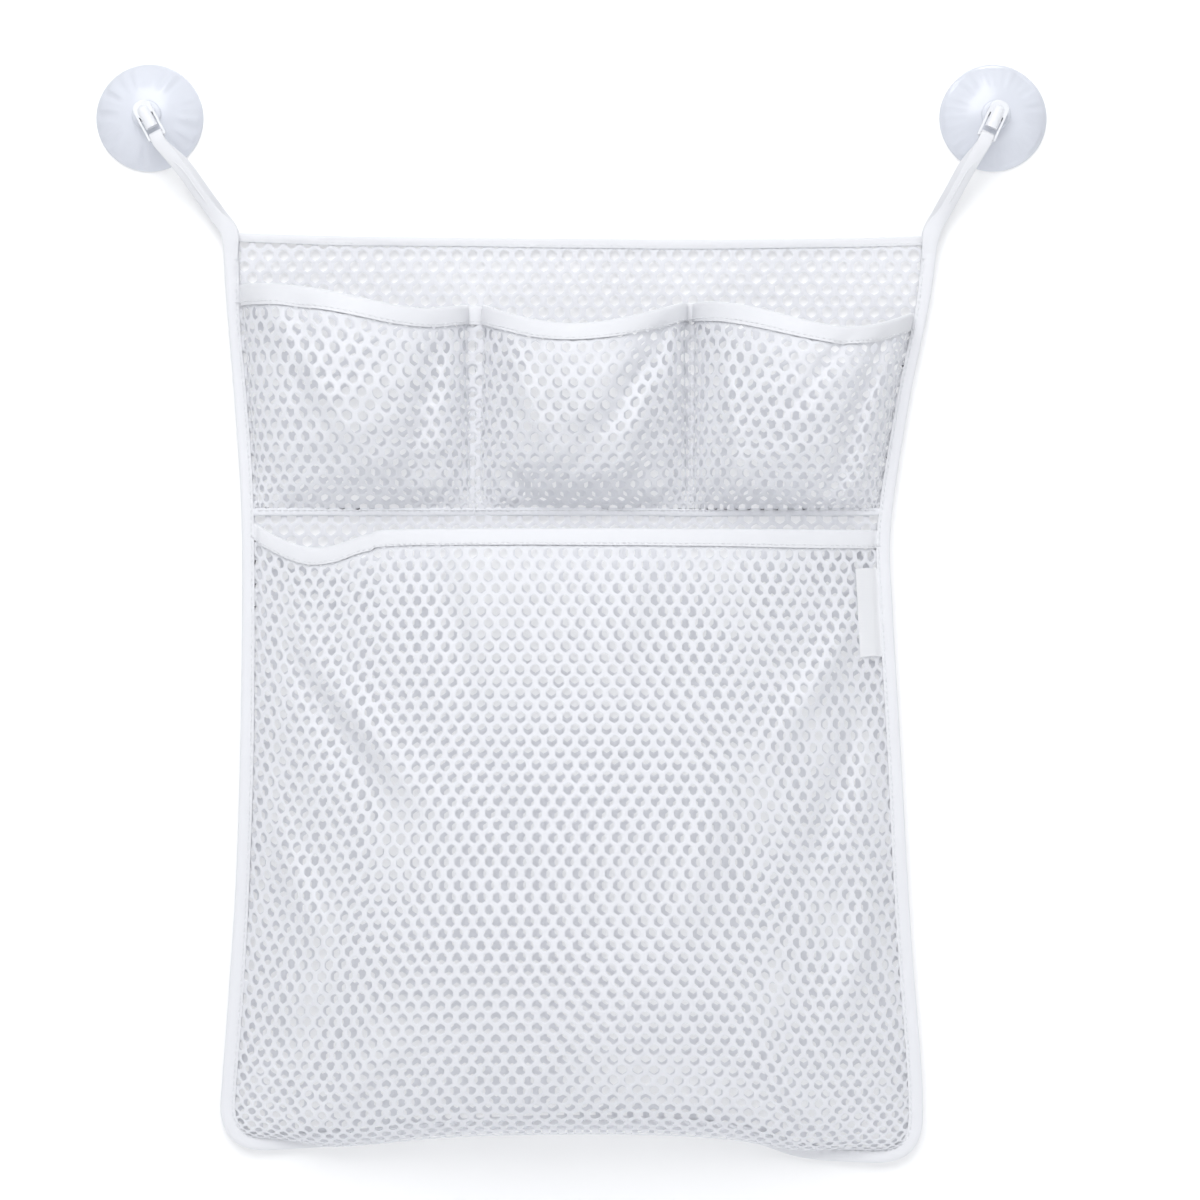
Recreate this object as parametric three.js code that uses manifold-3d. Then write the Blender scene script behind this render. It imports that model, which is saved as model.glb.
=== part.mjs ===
// Bath organizer: a net bag with four pockets, hung on a tiled wall by two suction cups.
// Units are millimetres. X runs to the right, Y into the wall and Z up.
// The origin lies on the wall, midway between the two suction cups.

import * as THREE from 'three';
import { mergeVertices } from 'three/addons/utils/BufferGeometryUtils.js';
import Module from 'manifold-3d';

const { Vector2, Vector3 } = THREE;

// Cloth, tape and fits
const CLEARANCE = 0.3;
const OVERRUN = 2;
const NET_THICKNESS = 0.8;
const TAPE_THICKNESS = 0.7;
const FOLD_ROUND = 0.5;
const WALL_GAP = 1.5;
const SEAM_ALLOWANCE = 1.2;
const HALVINGS = 40;

// The bag lies flat against the wall, and hangs from its two top corners
const BAG_WIDTH = 347;
const BAG_HEIGHT = 454;
const BAG_TOP_Z = -57;
const BAG_SHIFT = 4.5;
const TOP_TILT = 2;
const TOP_SAG = 2.5;
const CORNER_ROUND = 24;

// The outline from the top left corner down, along the bottom and up again.
// Each row is a share of the bag's width from its middle, and a share of its height down.
const leftSideShares = [
  [-0.504, 0], [-0.499, 0.07], [-0.487, 0.183], [-0.477, 0.315], [-0.478, 0.502],
  [-0.484, 0.674], [-0.495, 0.811], [-0.507, 0.93],
];
const leftCornerShares = [-0.509, 0.988];
const bottomShares = [
  [-0.437, 0.9865], [-0.31, 0.98], [-0.157, 0.968], [0.045, 0.965], [0.212, 0.973],
  [0.313, 0.9945], [0.41, 1],
];
const rightCornerShares = [0.483, 1.001];
const rightSideShares = [
  [0.482, 0.942], [0.48, 0.896], [0.4654, 0.753], [0.451, 0.557], [0.4395, 0.403],
  [0.437, 0.315], [0.4625, 0.183], [0.4925, 0.07], [0.504, 0],
];

// The nets' holes: six-sided and drawn large, in rows that are each shifted by half a hole.
// The shares are of the distance from hole to hole across, and from row to row down.
const HOLES_ACROSS = 7;
const BACK_HOLE_ROWS = 12;
const POCKET_HOLE_ROWS = 8;
const STRIP_HOLES_ACROSS = 2;
const STRIP_HOLE_ROWS = 3;
const LINES_PER_HOLE = 4;
const holeWidthShare = 0.64;
const holeSideShare = 0.5;
const holePeakShare = 0.22;
const holeMarginShare = 0.2;

// Binding tapes
const EDGE_TAPE_WIDTH = 7;
const HEM_TAPE_WIDTH = 6;
const MOUTH_TAPE_WIDTH = 7.5;
const EDGE_STEPS = [14, 5, 16, 5, 14];
const HEM_STEPS = 16;
const SEWN_COLUMNS = 2;
const foldShare = 0.7;

// The strip of three small pockets
const STRIP_BOTTOM_Z = -195;
const STRIP_HEM = 4;
const DIVIDER_X = [-47, 58];
const DIVIDER_FLOOR = 4;
const STRIP_MOUTH_Z = [-83, -93, -92, -97];
const STRIP_SAG = [6, 12.5, 11.5];
const STRIP_DEPTH = [38, 40, 46];
const stripSagSkewShares = [2.4, 0.9, 1.6];
const stripFullnessShares = [0.85, 0.85, 0.55];
const stripMouthShare = 0.93;
const stripPeakShare = 0.3;
const stripEdgeShare = 0.035;

// The big pocket
const POCKET_LEFT_Z = -196.5;
const POCKET_RIGHT_Z = -203;
const POCKET_DEPTH = 70;
const MOUTH_DIP = 10;
const pocketMouthShare = 0.62;
const pocketPeakShare = 0.68;
const pocketFullnessShare = 0.5;
const pocketSideShare = 0.85;
const mouthDipShares = [[0, 0], [0.05, 0.65], [0.1, 1], [0.145, 0.8], [0.2, 0.24], [0.3, 0], [1, 0]];
const mouthSlopeShare = 0.2;
const pocketEdgeShare = 0.013;
const MOUTH_FADE = 5;
const MIDDLE_STEPS = 60;

// The side label
const LABEL_WIDTH = 17.6;
const LABEL_HEIGHT = 43;
const LABEL_TOP_Z = -221;
const LABEL_THICKNESS = 1;
const LABEL_LIFT = 1;
const labelColumnShares = [0, 0.2, 0.4, 0.55, 0.7, 0.85, 1];
const labelRowShares = [0, 0.5, 1];

// Suction cups
const CUP_SPACING = 413;
const CUP_RADIUS = 26.2;
const CUP_RIM_WIDTH = 2.8;
const CUP_RIM_HEIGHT = 0.6;
const CUP_DOME_HEIGHT = 11;
const CUP_HOLLOW_HEIGHT = 7;
const BOSS_RADIUS = 7;
const BOSS_HEIGHT = 1.6;
const NECK_RADIUS = 2.2;
const NECK_LENGTH = 2.3;
const HEAD_RADIUS = 3.4;
const HEAD_HEIGHT = 2.7;
const CUP_SEGMENTS = 32;
const HEAD_STEPS = 4;
const domeShares = [
  [0.97, 0.07], [0.91, 0.22], [0.82, 0.4], [0.7, 0.6], [0.55, 0.79], [0.41, 0.92], [0.31, 0.98],
];
const hollowShares = [[0.8, 0.24], [0.6, 0.6], [0.38, 0.87], [0.18, 0.98]];

// Hooks
const HOOK_TILT = { left: -28, right: 25 };
const HOOK_ABOVE_NECK = 5.8;
const HOOK_BELOW_NECK = 14;
const HOOK_RAIL = 1.1;
const HOOK_PLATE = 2.4;
const HOOK_TOP_ROUND = 4;
const HOOK_FOOT_ROUND = 1;
const HOOK_EDGE_ROUND = 0.3;
const HOOK_FRONT_WALL = 1.4;
const COLLAR_LIP = 1.7;
const BAR_RADIUS = 1.2;
const TONGUE_GAP = 2.4;
const TONGUE_SLIT = 0.6;
const TONGUE_CROWN = 1.6;
const TONGUE_ABOVE_NECK = 3.6;
const SLIT_BELOW_NECK = 1.5;
const ROUND_SEGMENTS = 24;
const TONGUE_RINGS = 5;
const PLATE_CURVE_SEGMENTS = 8;
const PLATE_BEVEL_SEGMENTS = 2;

// Straps
const STRAP_WIDTH = 6.6;
const STRAP_OVERLAP = 13;
const STRAP_LAYER_GAP = 0.5;
const STRAP_STRAIGHT = 5;
const STRAP_STEPS = 14;
const LOOP_STEPS = 8;
const strapOpenShare = 5;
const strapSpreadShare = 0.62;
// The run from the bar to the bag's top corner: shares of the way across, down and back to the wall
const strapRunShares = [
  [0.36, 0.32, 0.22], [0.6, 0.57, 0.53], [0.82, 0.8, 0.86],
];

// Where each layer lies, measured from the wall towards the room
const BAG_BACK_Y = -WALL_GAP;
const PANEL_BACK_Y = BAG_BACK_Y - TAPE_THICKNESS - CLEARANCE;
const PANEL_FRONT_Y = PANEL_BACK_Y - NET_THICKNESS;
const POCKET_SEAM_Y = PANEL_FRONT_Y - CLEARANCE - NET_THICKNESS / 2;
const BAG_FRONT_Y = POCKET_SEAM_Y - NET_THICKNESS / 2 - CLEARANCE - TAPE_THICKNESS;
const SEAM_INSET = TAPE_THICKNESS + SEAM_ALLOWANCE;
const POCKET_INSET = EDGE_TAPE_WIDTH + CLEARANCE * 3;
const TAPE_REACH = NET_THICKNESS / 2 + CLEARANCE + TAPE_THICKNESS;
const MOUTH_LIFT = TAPE_REACH + CLEARANCE - NET_THICKNESS / 2;
const BOSS_Y = -CUP_DOME_HEIGHT - BOSS_HEIGHT;
const HOOK_BACK_Y = BOSS_Y - CLEARANCE;
const HEAD_BACK_Y = BOSS_Y - NECK_LENGTH;
const HEAD_FRONT_Y = HEAD_BACK_Y - HEAD_HEIGHT;
const HOOK_FRONT_Y = HEAD_FRONT_Y - CLEARANCE - HOOK_FRONT_WALL;
const BAR_Y = HOOK_FRONT_Y + HOOK_PLATE / 2;
const BAR_DROP = HOOK_BELOW_NECK - BAR_RADIUS;
const HOOK_WIDTH = STRAP_WIDTH + 2 * (CLEARANCE + HOOK_RAIL);

// The rows of each pocket's net that its mouth tape covers
const tapeDrops = [0, MOUTH_TAPE_WIDTH / 2, MOUTH_TAPE_WIDTH];
const TAPE_ROWS = tapeDrops.length;

const wasm = await Module();
wasm.setup();

const mix = THREE.MathUtils.lerp;
const radians = THREE.MathUtils.degToRad;

// Solids from meshes, for cuts and joins
function solid(geometry) {
  const bare = geometry.clone();
  bare.deleteAttribute('normal');
  bare.deleteAttribute('uv');
  const merged = mergeVertices(bare);
  return new wasm.Manifold(new wasm.Mesh({
    numProp: 3,
    vertProperties: new Float32Array(merged.attributes.position.array),
    triVerts: new Uint32Array(merged.index.array),
  }));
}

function geometryOf(body) {
  const mesh = body.getMesh();
  const geometry = new THREE.BufferGeometry();
  geometry.setAttribute('position', new THREE.BufferAttribute(mesh.vertProperties, 3));
  geometry.setIndex(new THREE.BufferAttribute(mesh.triVerts, 1));
  geometry.computeVertexNormals();
  return geometry;
}

// Cloth as a solid between two faces, each a grid of points with the same columns and rows.
// Open cells stay out, and each edge of what is left gets a wall.
function sheet(face, lining, isOpen = () => false) {
  const columns = face.length;
  const rows = face[0].length;
  const points = [...face.flat(), ...lining.flat()];
  const at = (side, i, j) => (side * columns + i) * rows + j;
  const index = [];
  const quad = (a, b, c, d) => index.push(a, b, c, a, c, d);
  const within = (i, j) => i >= 0 && j >= 0 && i < columns - 1 && j < rows - 1;
  const filled = (i, j) => within(i, j) && !isOpen(i, j);
  for (let i = 0; i < columns - 1; i += 1) {
    for (let j = 0; j < rows - 1; j += 1) {
      if (!filled(i, j)) continue;
      const ring = [[i, j], [i, j + 1], [i + 1, j + 1], [i + 1, j]];
      const beside = [[i - 1, j], [i, j + 1], [i + 1, j], [i, j - 1]];
      quad(...ring.map((corner) => at(0, ...corner)));
      quad(...ring.map((corner) => at(1, ...corner)).reverse());
      ring.forEach((corner, k) => {
        const next = ring[(k + 1) % ring.length];
        if (!filled(...beside[k])) quad(at(0, ...corner), at(1, ...corner), at(1, ...next), at(0, ...next));
      });
    }
  }
  const geometry = new THREE.BufferGeometry().setFromPoints(points);
  geometry.setIndex(index);
  if (volume(geometry) < 0) geometry.setIndex(index.reverse());
  geometry.computeVertexNormals();
  return geometry;
}

function volume(geometry) {
  const { position } = geometry.attributes;
  const corner = [0, 1, 2].map(() => new Vector3());
  let total = 0;
  for (let i = 0; i < geometry.index.count; i += 3) {
    corner.forEach((point, k) => point.fromBufferAttribute(position, geometry.index.getX(i + k)));
    total += corner[0].dot(corner[1].cross(corner[2]));
  }
  return total;
}

// The direction that faces the room at each point of a grid whose columns run right and rows run down
function facing(grid) {
  return grid.map((column, i) => column.map((point, j) => {
    const across = grid[Math.min(i + 1, grid.length - 1)][j].clone().sub(grid[Math.max(i - 1, 0)][j]);
    const down = column[Math.min(j + 1, column.length - 1)].clone().sub(column[Math.max(j - 1, 0)]);
    return down.cross(across).normalize();
  }));
}

function shifted(grid, directions, distance) {
  return grid.map((column, i) => column.map(
    (point, j) => point.clone().addScaledVector(directions[i][j], distance),
  ));
}

function netPanel(grid, isOpen) {
  const directions = facing(grid);
  const half = NET_THICKNESS / 2;
  return sheet(shifted(grid, directions, half), shifted(grid, directions, -half), isOpen);
}

// The lines of a net that run down through its holes, each a list of shares across and down.
// Every hole reaches from one line to the next but one, and has a top and a bottom point on each.
function netLines(holes, rows) {
  const half = holeWidthShare / 2;
  const middle = 1 / 2;
  const even = [0, middle - half, middle, middle + half];
  const odd = [0, half, middle, 1 - half];
  const height = rows + 2 * holeMarginShare;
  return Array.from({ length: LINES_PER_HOLE * holes + 1 }, (_, k) => {
    const turn = k % LINES_PER_HOLE;
    return Array.from({ length: rows }, (unused, row) => {
      const isOdd = row % 2 === 1;
      const across = ((isOdd ? odd : even)[turn] + (k - turn) / LINES_PER_HOLE) / holes;
      const outward = (turn === 2) - (turn === 0);
      const reach = holeSideShare / 2 + holePeakShare * (isOdd ? -outward : outward);
      const centre = row + middle + holeMarginShare;
      return [[across, (centre - reach) / height], [across, (centre + reach) / height]];
    }).flat();
  });
}

// The same rows without their peaks, for the plain lines beside the holes
function plainRows(lines) {
  return lines[0].map((point, k) => (point[1] + lines[2][k][1]) / 2);
}

// Whether the cell after a line, and below a point on it, is part of a hole
function isHole(line, point) {
  const turn = line % LINES_PER_HOLE;
  if (point % 2) return false;
  return point % 4 ? turn === 3 || turn === 0 : turn === 1 || turn === 2;
}

// The bag's outer edge, in the plane of the wall
function outlinePoint([across, down]) {
  return new Vector2(BAG_SHIFT + across * BAG_WIDTH, BAG_TOP_Z - down * BAG_HEIGHT);
}

function cornerCurve(from, corner, to) {
  return new THREE.QuadraticBezierCurve(from, corner, to);
}

function makeEdge() {
  const left = leftSideShares.map(outlinePoint);
  const bottom = bottomShares.map(outlinePoint);
  const right = rightSideShares.map(outlinePoint);
  const leftCorner = outlinePoint(leftCornerShares);
  const rightCorner = outlinePoint(rightCornerShares);
  left.at(-1).y = leftCorner.y + CORNER_ROUND;
  bottom[0].x = leftCorner.x + CORNER_ROUND;
  bottom.at(-1).x = rightCorner.x - CORNER_ROUND;
  right[0].y = rightCorner.y + CORNER_ROUND;
  const path = new THREE.CurvePath();
  path.add(new THREE.SplineCurve(left));
  path.add(cornerCurve(left.at(-1), leftCorner, bottom[0]));
  path.add(new THREE.SplineCurve(bottom));
  path.add(cornerCurve(bottom.at(-1), rightCorner, right[0]));
  path.add(new THREE.SplineCurve(right));
  return path;
}

const edge = makeEdge();
const edgeLengths = edge.getCurveLengths();
const edgeLength = edgeLengths.at(-1);
const LEFT_TURN = (edgeLengths[0] + edgeLengths[1]) / 2 / edgeLength;
const RIGHT_TURN = (edgeLengths[2] + edgeLengths[3]) / 2 / edgeLength;

// A point a given distance inside the edge, where the edge is followed from 0 to 1
function inside(along, distance) {
  const point = edge.getPoint(along);
  const way = edge.getTangent(along);
  return new Vector2(point.x - way.y * distance, point.y + way.x * distance);
}

function edgeSteps() {
  const steps = [0];
  EDGE_STEPS.forEach((count, k) => {
    const start = k ? edgeLengths[k - 1] : 0;
    for (let i = 1; i <= count; i += 1) {
      steps.push(mix(start, edgeLengths[k], i / count) / edgeLength);
    }
  });
  return steps;
}

// How far along the edge a side reaches a given height
function alongAt(side, z) {
  let low = side === 'left' ? 0 : RIGHT_TURN;
  let high = side === 'left' ? LEFT_TURN : 1;
  for (let i = 0; i < HALVINGS; i += 1) {
    const middle = (low + high) / 2;
    const above = edge.getPoint(middle).y > z;
    if (above === (side === 'left')) low = middle;
    else high = middle;
  }
  return (low + high) / 2;
}

function sideX(side, z, distance) {
  return inside(alongAt(side, z), distance).x;
}

const leftTop = edge.getPoint(0);
const rightTop = edge.getPoint(1);

function topZ(x) {
  const share = (x - leftTop.x) / (rightTop.x - leftTop.x);
  return BAG_TOP_Z - TOP_TILT * share - TOP_SAG * 4 * share * (1 - share);
}

const atDepth = (point, y) => new Vector3(point.x, y, point.y);

// A field of cloth below a top line and inside the bag's edge, as a function of shares across and down
function field(leftStart, rightStart, topAt) {
  const left = (share) => inside(mix(leftStart, LEFT_TURN, share), POCKET_INSET);
  const right = (share) => inside(mix(rightStart, RIGHT_TURN, share), POCKET_INSET);
  const bottom = (share) => inside(mix(LEFT_TURN, RIGHT_TURN, share), POCKET_INSET);
  const corner = [left(0), right(0), left(1), right(1)];
  const top = (share) => {
    const x = mix(corner[0].x, corner[1].x, share);
    return new Vector2(x, topAt(share, x));
  };
  return (across, down) => top(across).multiplyScalar(1 - down)
    .addScaledVector(bottom(across), down)
    .addScaledVector(left(down), 1 - across)
    .addScaledVector(right(down), across)
    .addScaledVector(corner[0], -(1 - across) * (1 - down))
    .addScaledVector(corner[1], -across * (1 - down))
    .addScaledVector(corner[2], -(1 - across) * down)
    .addScaledVector(corner[3], -across * down);
}

// The back panel's holes, spread between the top hem and the edge
function backHoles() {
  const lines = netLines(HOLES_ACROSS, BACK_HOLE_ROWS);
  const hemmed = (share, x) => topZ(x) - HEM_TAPE_WIDTH;
  const hemAt = BAG_TOP_Z - HEM_TAPE_WIDTH;
  const spread = field(alongAt('left', hemAt), alongAt('right', hemAt - TOP_TILT), hemmed);
  const holes = [];
  for (let row = 0; row < BACK_HOLE_ROWS; row += 1) {
    const first = row % 2 ? 0 : LINES_PER_HOLE / 2;
    for (let centre = first; centre < lines.length; centre += LINES_PER_HOLE) {
      const beside = lines.slice(Math.max(0, centre - 1), centre + 2);
      const above = beside.map((line) => line[2 * row]);
      const below = beside.map((line) => line[2 * row + 1]).reverse();
      holes.push(new THREE.Path([...above, ...below].map(([across, down]) => spread(across, down))));
    }
  }
  return holes;
}

// The back panel, cut to the outline and flat against the wall
function backPanel() {
  const top = (x) => topZ(x) - TAPE_THICKNESS - CLEARANCE;
  const sides = edgeSteps().map((along) => inside(along, SEAM_INSET));
  const under = sides.filter((point) => point.y < top(point.x) - CLEARANCE);
  const topEdge = [];
  for (let i = 0; i <= HEM_STEPS; i += 1) {
    const x = mix(sides.at(-1).x, sides[0].x, i / HEM_STEPS);
    topEdge.push(new Vector2(x, top(x)));
  }
  const cut = new THREE.Shape([...under, ...topEdge]);
  cut.holes = backHoles();
  const geometry = new THREE.ExtrudeGeometry(cut, { depth: NET_THICKNESS, bevelEnabled: false });
  geometry.rotateX(Math.PI / 2);
  geometry.translate(0, PANEL_BACK_Y, 0);
  return geometry;
}

// A tape folded over an edge that lies flat: rows run from one leg round the fold to the other
function foldRows(width, front, back) {
  const face = [
    [width, front], [FOLD_ROUND, front], [0, front + FOLD_ROUND],
    [0, back - FOLD_ROUND], [FOLD_ROUND, back], [width, back],
  ];
  const round = FOLD_ROUND / 2;
  const tape = TAPE_THICKNESS;
  const lining = [
    [width, front + tape], [tape + round, front + tape], [tape, front + tape + round],
    [tape, back - tape - round], [tape + round, back - tape], [width, back - tape],
  ];
  return { face, lining };
}

function edgeBinding() {
  const { face, lining } = foldRows(EDGE_TAPE_WIDTH, BAG_FRONT_Y, BAG_BACK_Y);
  const steps = edgeSteps();
  const grid = (rows) => steps.map((along) => rows.map(([depth, y]) => atDepth(inside(along, depth), y)));
  return sheet(grid(face), grid(lining));
}

function topHem() {
  const front = PANEL_FRONT_Y - CLEARANCE - TAPE_THICKNESS;
  const { face, lining } = foldRows(HEM_TAPE_WIDTH, front, BAG_BACK_Y);
  const ends = POCKET_INSET;
  const grid = (rows) => Array.from({ length: HEM_STEPS + 1 }, (_, i) => rows.map(([depth, y]) => {
    const from = sideX('left', leftTop.y - depth, ends);
    const to = sideX('right', rightTop.y - depth, ends);
    const x = mix(from, to, i / HEM_STEPS);
    return new Vector3(x, y, topZ(x) - depth);
  }));
  return sheet(grid(face), grid(lining));
}

// How a filled pocket stands out below its mouth, as a share of its depth
function belly(down, mouth, peak, fullness) {
  if (down < peak) return mix(mouth, 1, Math.sin((Math.PI / 2) * (down / peak)));
  return Math.cos((Math.PI / 2) * Math.min(1, (down - peak) / (1 - peak))) ** fullness;
}

// A tape folded over the mouth of a panel: it follows the panel's own first rows
function mouthBinding(grid) {
  const directions = facing(grid);
  const rows = tapeDrops.map((drop, row) => row);
  const fold = (reach, rise, square) => grid.slice(SEWN_COLUMNS, -SEWN_COLUMNS).map((column, k) => {
    const facingRoom = directions[SEWN_COLUMNS + k];
    const up = column[0].clone().sub(column[1]).normalize();
    const beside = (j, distance) => column[j].clone().addScaledVector(facingRoom[j], distance);
    const over = (distance) => beside(0, distance).addScaledVector(up, rise);
    return [
      ...rows.map((j) => beside(j, reach)).reverse(), over(reach * square),
      over(-reach * square), ...rows.map((j) => beside(j, -reach)),
    ];
  });
  const inner = TAPE_REACH - TAPE_THICKNESS;
  return sheet(
    fold(TAPE_REACH, CLEARANCE + TAPE_THICKNESS, foldShare),
    fold(inner, CLEARANCE, foldShare),
  );
}

// The strip of small pockets: each pocket has its net lines between two plain ones at its ends
function stripColumns() {
  const lines = netLines(STRIP_HOLES_ACROSS, STRIP_HOLE_ROWS);
  const plain = plainRows(lines);
  const straight = (share) => plain.map((down) => [share, down]);
  const columns = [];
  for (let pocket = 0; pocket < STRIP_DEPTH.length; pocket += 1) {
    columns.push({ pocket, share: 0, line: straight(0) });
    lines.forEach((line, k) => columns.push({
      pocket,
      share: mix(stripEdgeShare, 1 - stripEdgeShare, k / (lines.length - 1)),
      line: line.map(([across, down]) => [mix(stripEdgeShare, 1 - stripEdgeShare, across), down]),
    }));
    columns.push({ pocket, share: 1, line: straight(1) });
  }
  return [{ ...columns[0], seam: true }, ...columns, { ...columns.at(-1), seam: true }];
}

function isStripHole(i, j) {
  const line = (i - 1) % (LINES_PER_HOLE * STRIP_HOLES_ACROSS + 3) - 1;
  const point = j - TAPE_ROWS;
  const inField = line >= 0 && line < LINES_PER_HOLE * STRIP_HOLES_ACROSS
    && point >= 0 && point < 2 * STRIP_HOLE_ROWS;
  return inField && isHole(line, point);
}

function stripSpan(pocket, z, seam) {
  const distance = seam ? SEAM_INSET : POCKET_INSET;
  const half = DIVIDER_FLOOR / 2;
  const from = pocket ? DIVIDER_X[pocket - 1] + half : sideX('left', z, distance);
  const to = pocket < DIVIDER_X.length ? DIVIDER_X[pocket] - half : sideX('right', z, distance);
  return [from, to];
}

function stripMouth({ pocket, share }) {
  const straight = mix(STRIP_MOUTH_Z[pocket], STRIP_MOUTH_Z[pocket + 1], share);
  return straight - STRIP_SAG[pocket] * Math.sin(Math.PI * share ** stripSagSkewShares[pocket]);
}

function stripPoint(column, drop) {
  const { pocket, share, seam } = column;
  const mouth = stripMouth(column);
  const hem = STRIP_BOTTOM_Z + STRIP_HEM;
  const z = mouth - drop;
  const [from, to] = stripSpan(pocket, z, seam);
  const down = Math.min(1, drop / (mouth - hem));
  const across = Math.sin(Math.PI * share);
  const full = belly(down, stripMouthShare, stripPeakShare, stripFullnessShares[pocket]);
  const atSide = seam || (pocket === 0 && share === 0)
    || (pocket === STRIP_DEPTH.length - 1 && share === 1);
  const taped = drop <= MOUTH_TAPE_WIDTH && !atSide ? MOUTH_LIFT : 0;
  const stand = Math.max(STRIP_DEPTH[pocket] * across * full, taped);
  return new Vector3(mix(from, to, share), POCKET_SEAM_Y - stand, z);
}

function stripGrid() {
  return stripColumns().map((column) => {
    const whole = stripMouth(column) - STRIP_BOTTOM_Z;
    const tape = tapeDrops.map((drop) => stripPoint(column, drop));
    const netting = column.line.map(([share, down]) => {
      const place = { ...column, share };
      const lowest = stripMouth(place) - STRIP_BOTTOM_Z - STRIP_HEM;
      return stripPoint(place, mix(MOUTH_TAPE_WIDTH, lowest, down));
    });
    return [...tape, ...netting, stripPoint(column, whole - STRIP_HEM), stripPoint(column, whole)];
  });
}

// The big pocket
const mouthDip = new THREE.SplineCurve(mouthDipShares.map(([across, dip]) => new Vector2(across, dip)));

function pocketMouthZ(share) {
  const dip = Math.max(0, mouthDip.getPoint(dipAlong(share)).y);
  const ease = 1 - (1 - Math.min(1, share / mouthSlopeShare)) ** 2;
  return mix(POCKET_LEFT_Z, POCKET_RIGHT_Z, ease) - MOUTH_DIP * dip;
}

function dipAlong(share) {
  let low = 0;
  let high = 1;
  for (let i = 0; i < HALVINGS; i += 1) {
    const middle = (low + high) / 2;
    if (mouthDip.getPoint(middle).x < share) low = middle;
    else high = middle;
  }
  return (low + high) / 2;
}

const pocketLeftTop = alongAt('left', POCKET_LEFT_Z);
const pocketRightTop = alongAt('right', POCKET_RIGHT_Z);

const pocketSpread = field(pocketLeftTop, pocketRightTop, pocketMouthZ);

function pocketStand(across, down) {
  const sides = Math.sin(Math.PI * across) ** pocketSideShare;
  return POCKET_DEPTH * sides * belly(down, pocketMouthShare, pocketPeakShare, pocketFullnessShare);
}

function pocketPoint(across, down, lift) {
  const stand = Math.max(pocketStand(across, down), lift);
  return atDepth(pocketSpread(across, down), POCKET_SEAM_Y - stand);
}

const pocketMiddle = new THREE.CatmullRomCurve3(
  Array.from({ length: MIDDLE_STEPS + 1 }, (_, i) => pocketPoint(1 / 2, i / MIDDLE_STEPS, 0)),
);

// The rows are evenly spaced along the cloth, which curves in at the bottom
function pocketGrid() {
  const height = POCKET_LEFT_Z - BAG_TOP_Z + BAG_HEIGHT;
  const faded = (MOUTH_TAPE_WIDTH + MOUTH_FADE) / height;
  const start = MOUTH_TAPE_WIDTH / pocketMiddle.getLength();
  const even = (down) => pocketMiddle.getUtoTmapping(mix(start, 1, down));
  const lines = netLines(HOLES_ACROSS, POCKET_HOLE_ROWS);
  const plain = plainRows(lines);
  const straight = (share) => ({ share, line: plain.map((down) => [share, down]) });
  const between = (share) => mix(pocketEdgeShare, 1 - pocketEdgeShare, share);
  const open = lines.map((line, k) => ({
    share: between(k / (lines.length - 1)),
    line: line.map(([across, down]) => [between(across), down]),
  }));
  const columns = [straight(0), ...open, straight(1)];
  const tape = tapeDrops.map((drop) => drop / height);
  const middle = columns.map(({ share, line }) => {
    const atSide = share === 0 || share === 1;
    const lift = (down) => (down < faded && !atSide ? MOUTH_LIFT : 0);
    const taped = tape.map((down) => [share, down]);
    const netting = line.map(([across, down]) => [across, even(down)]);
    return [...taped, ...netting, [share, 1]]
      .map(([across, down]) => pocketPoint(across, down, lift(down)));
  });
  const rows = [...tape, ...plain.map(even), 1];
  const turnShare = SEAM_INSET / edgeLength;
  const seamSide = (side, turn) => rows.map((down) => {
    const from = side === 'left' ? pocketLeftTop : pocketRightTop;
    const along = down === 1 ? turn - Math.sign(turn - from) * turnShare : mix(from, turn, down);
    return atDepth(inside(along, SEAM_INSET), POCKET_SEAM_Y);
  });
  const left = seamSide('left', LEFT_TURN);
  const right = seamSide('right', RIGHT_TURN);
  left.push(atDepth(inside(LEFT_TURN, SEAM_INSET), POCKET_SEAM_Y));
  right.push(atDepth(inside(RIGHT_TURN, SEAM_INSET), POCKET_SEAM_Y));
  middle.forEach((column, i) => {
    const share = THREE.MathUtils.clamp(mix(LEFT_TURN, RIGHT_TURN, columns[i].share),
      LEFT_TURN + turnShare, RIGHT_TURN - turnShare);
    column.push(atDepth(inside(share, SEAM_INSET), POCKET_SEAM_Y));
  });
  return [left, ...middle, right];
}

function isPocketHole(i, j) {
  const line = i - SEWN_COLUMNS;
  const point = j - TAPE_ROWS;
  const inField = line >= 0 && line < LINES_PER_HOLE * HOLES_ACROSS
    && point >= 0 && point < 2 * POCKET_HOLE_ROWS;
  return inField && isHole(line, point);
}

// The label, sewn over the right binding and lying on the big pocket
function sideLabel() {
  const grid = labelColumnShares.map((share) => labelRowShares.map((down) => {
    const z = LABEL_TOP_Z - LABEL_HEIGHT * down;
    const x = sideX('right', z, CLEARANCE + LABEL_WIDTH * share);
    const across = (x - sideX('left', z, POCKET_INSET))
      / (sideX('right', z, POCKET_INSET) - sideX('left', z, POCKET_INSET));
    const below = (POCKET_RIGHT_Z - z) / (POCKET_RIGHT_Z - BAG_TOP_Z + BAG_HEIGHT);
    const stand = pocketStand(Math.min(1, across), below);
    const overNet = POCKET_SEAM_Y - NET_THICKNESS / 2 - stand - LABEL_LIFT;
    const y = Math.min(BAG_FRONT_Y - CLEARANCE, overNet) - LABEL_THICKNESS / 2;
    return new Vector3(x, y, z);
  })).reverse();
  const directions = facing(grid);
  const half = LABEL_THICKNESS / 2;
  return sheet(shifted(grid, directions, half), shifted(grid, directions, -half));
}

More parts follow.
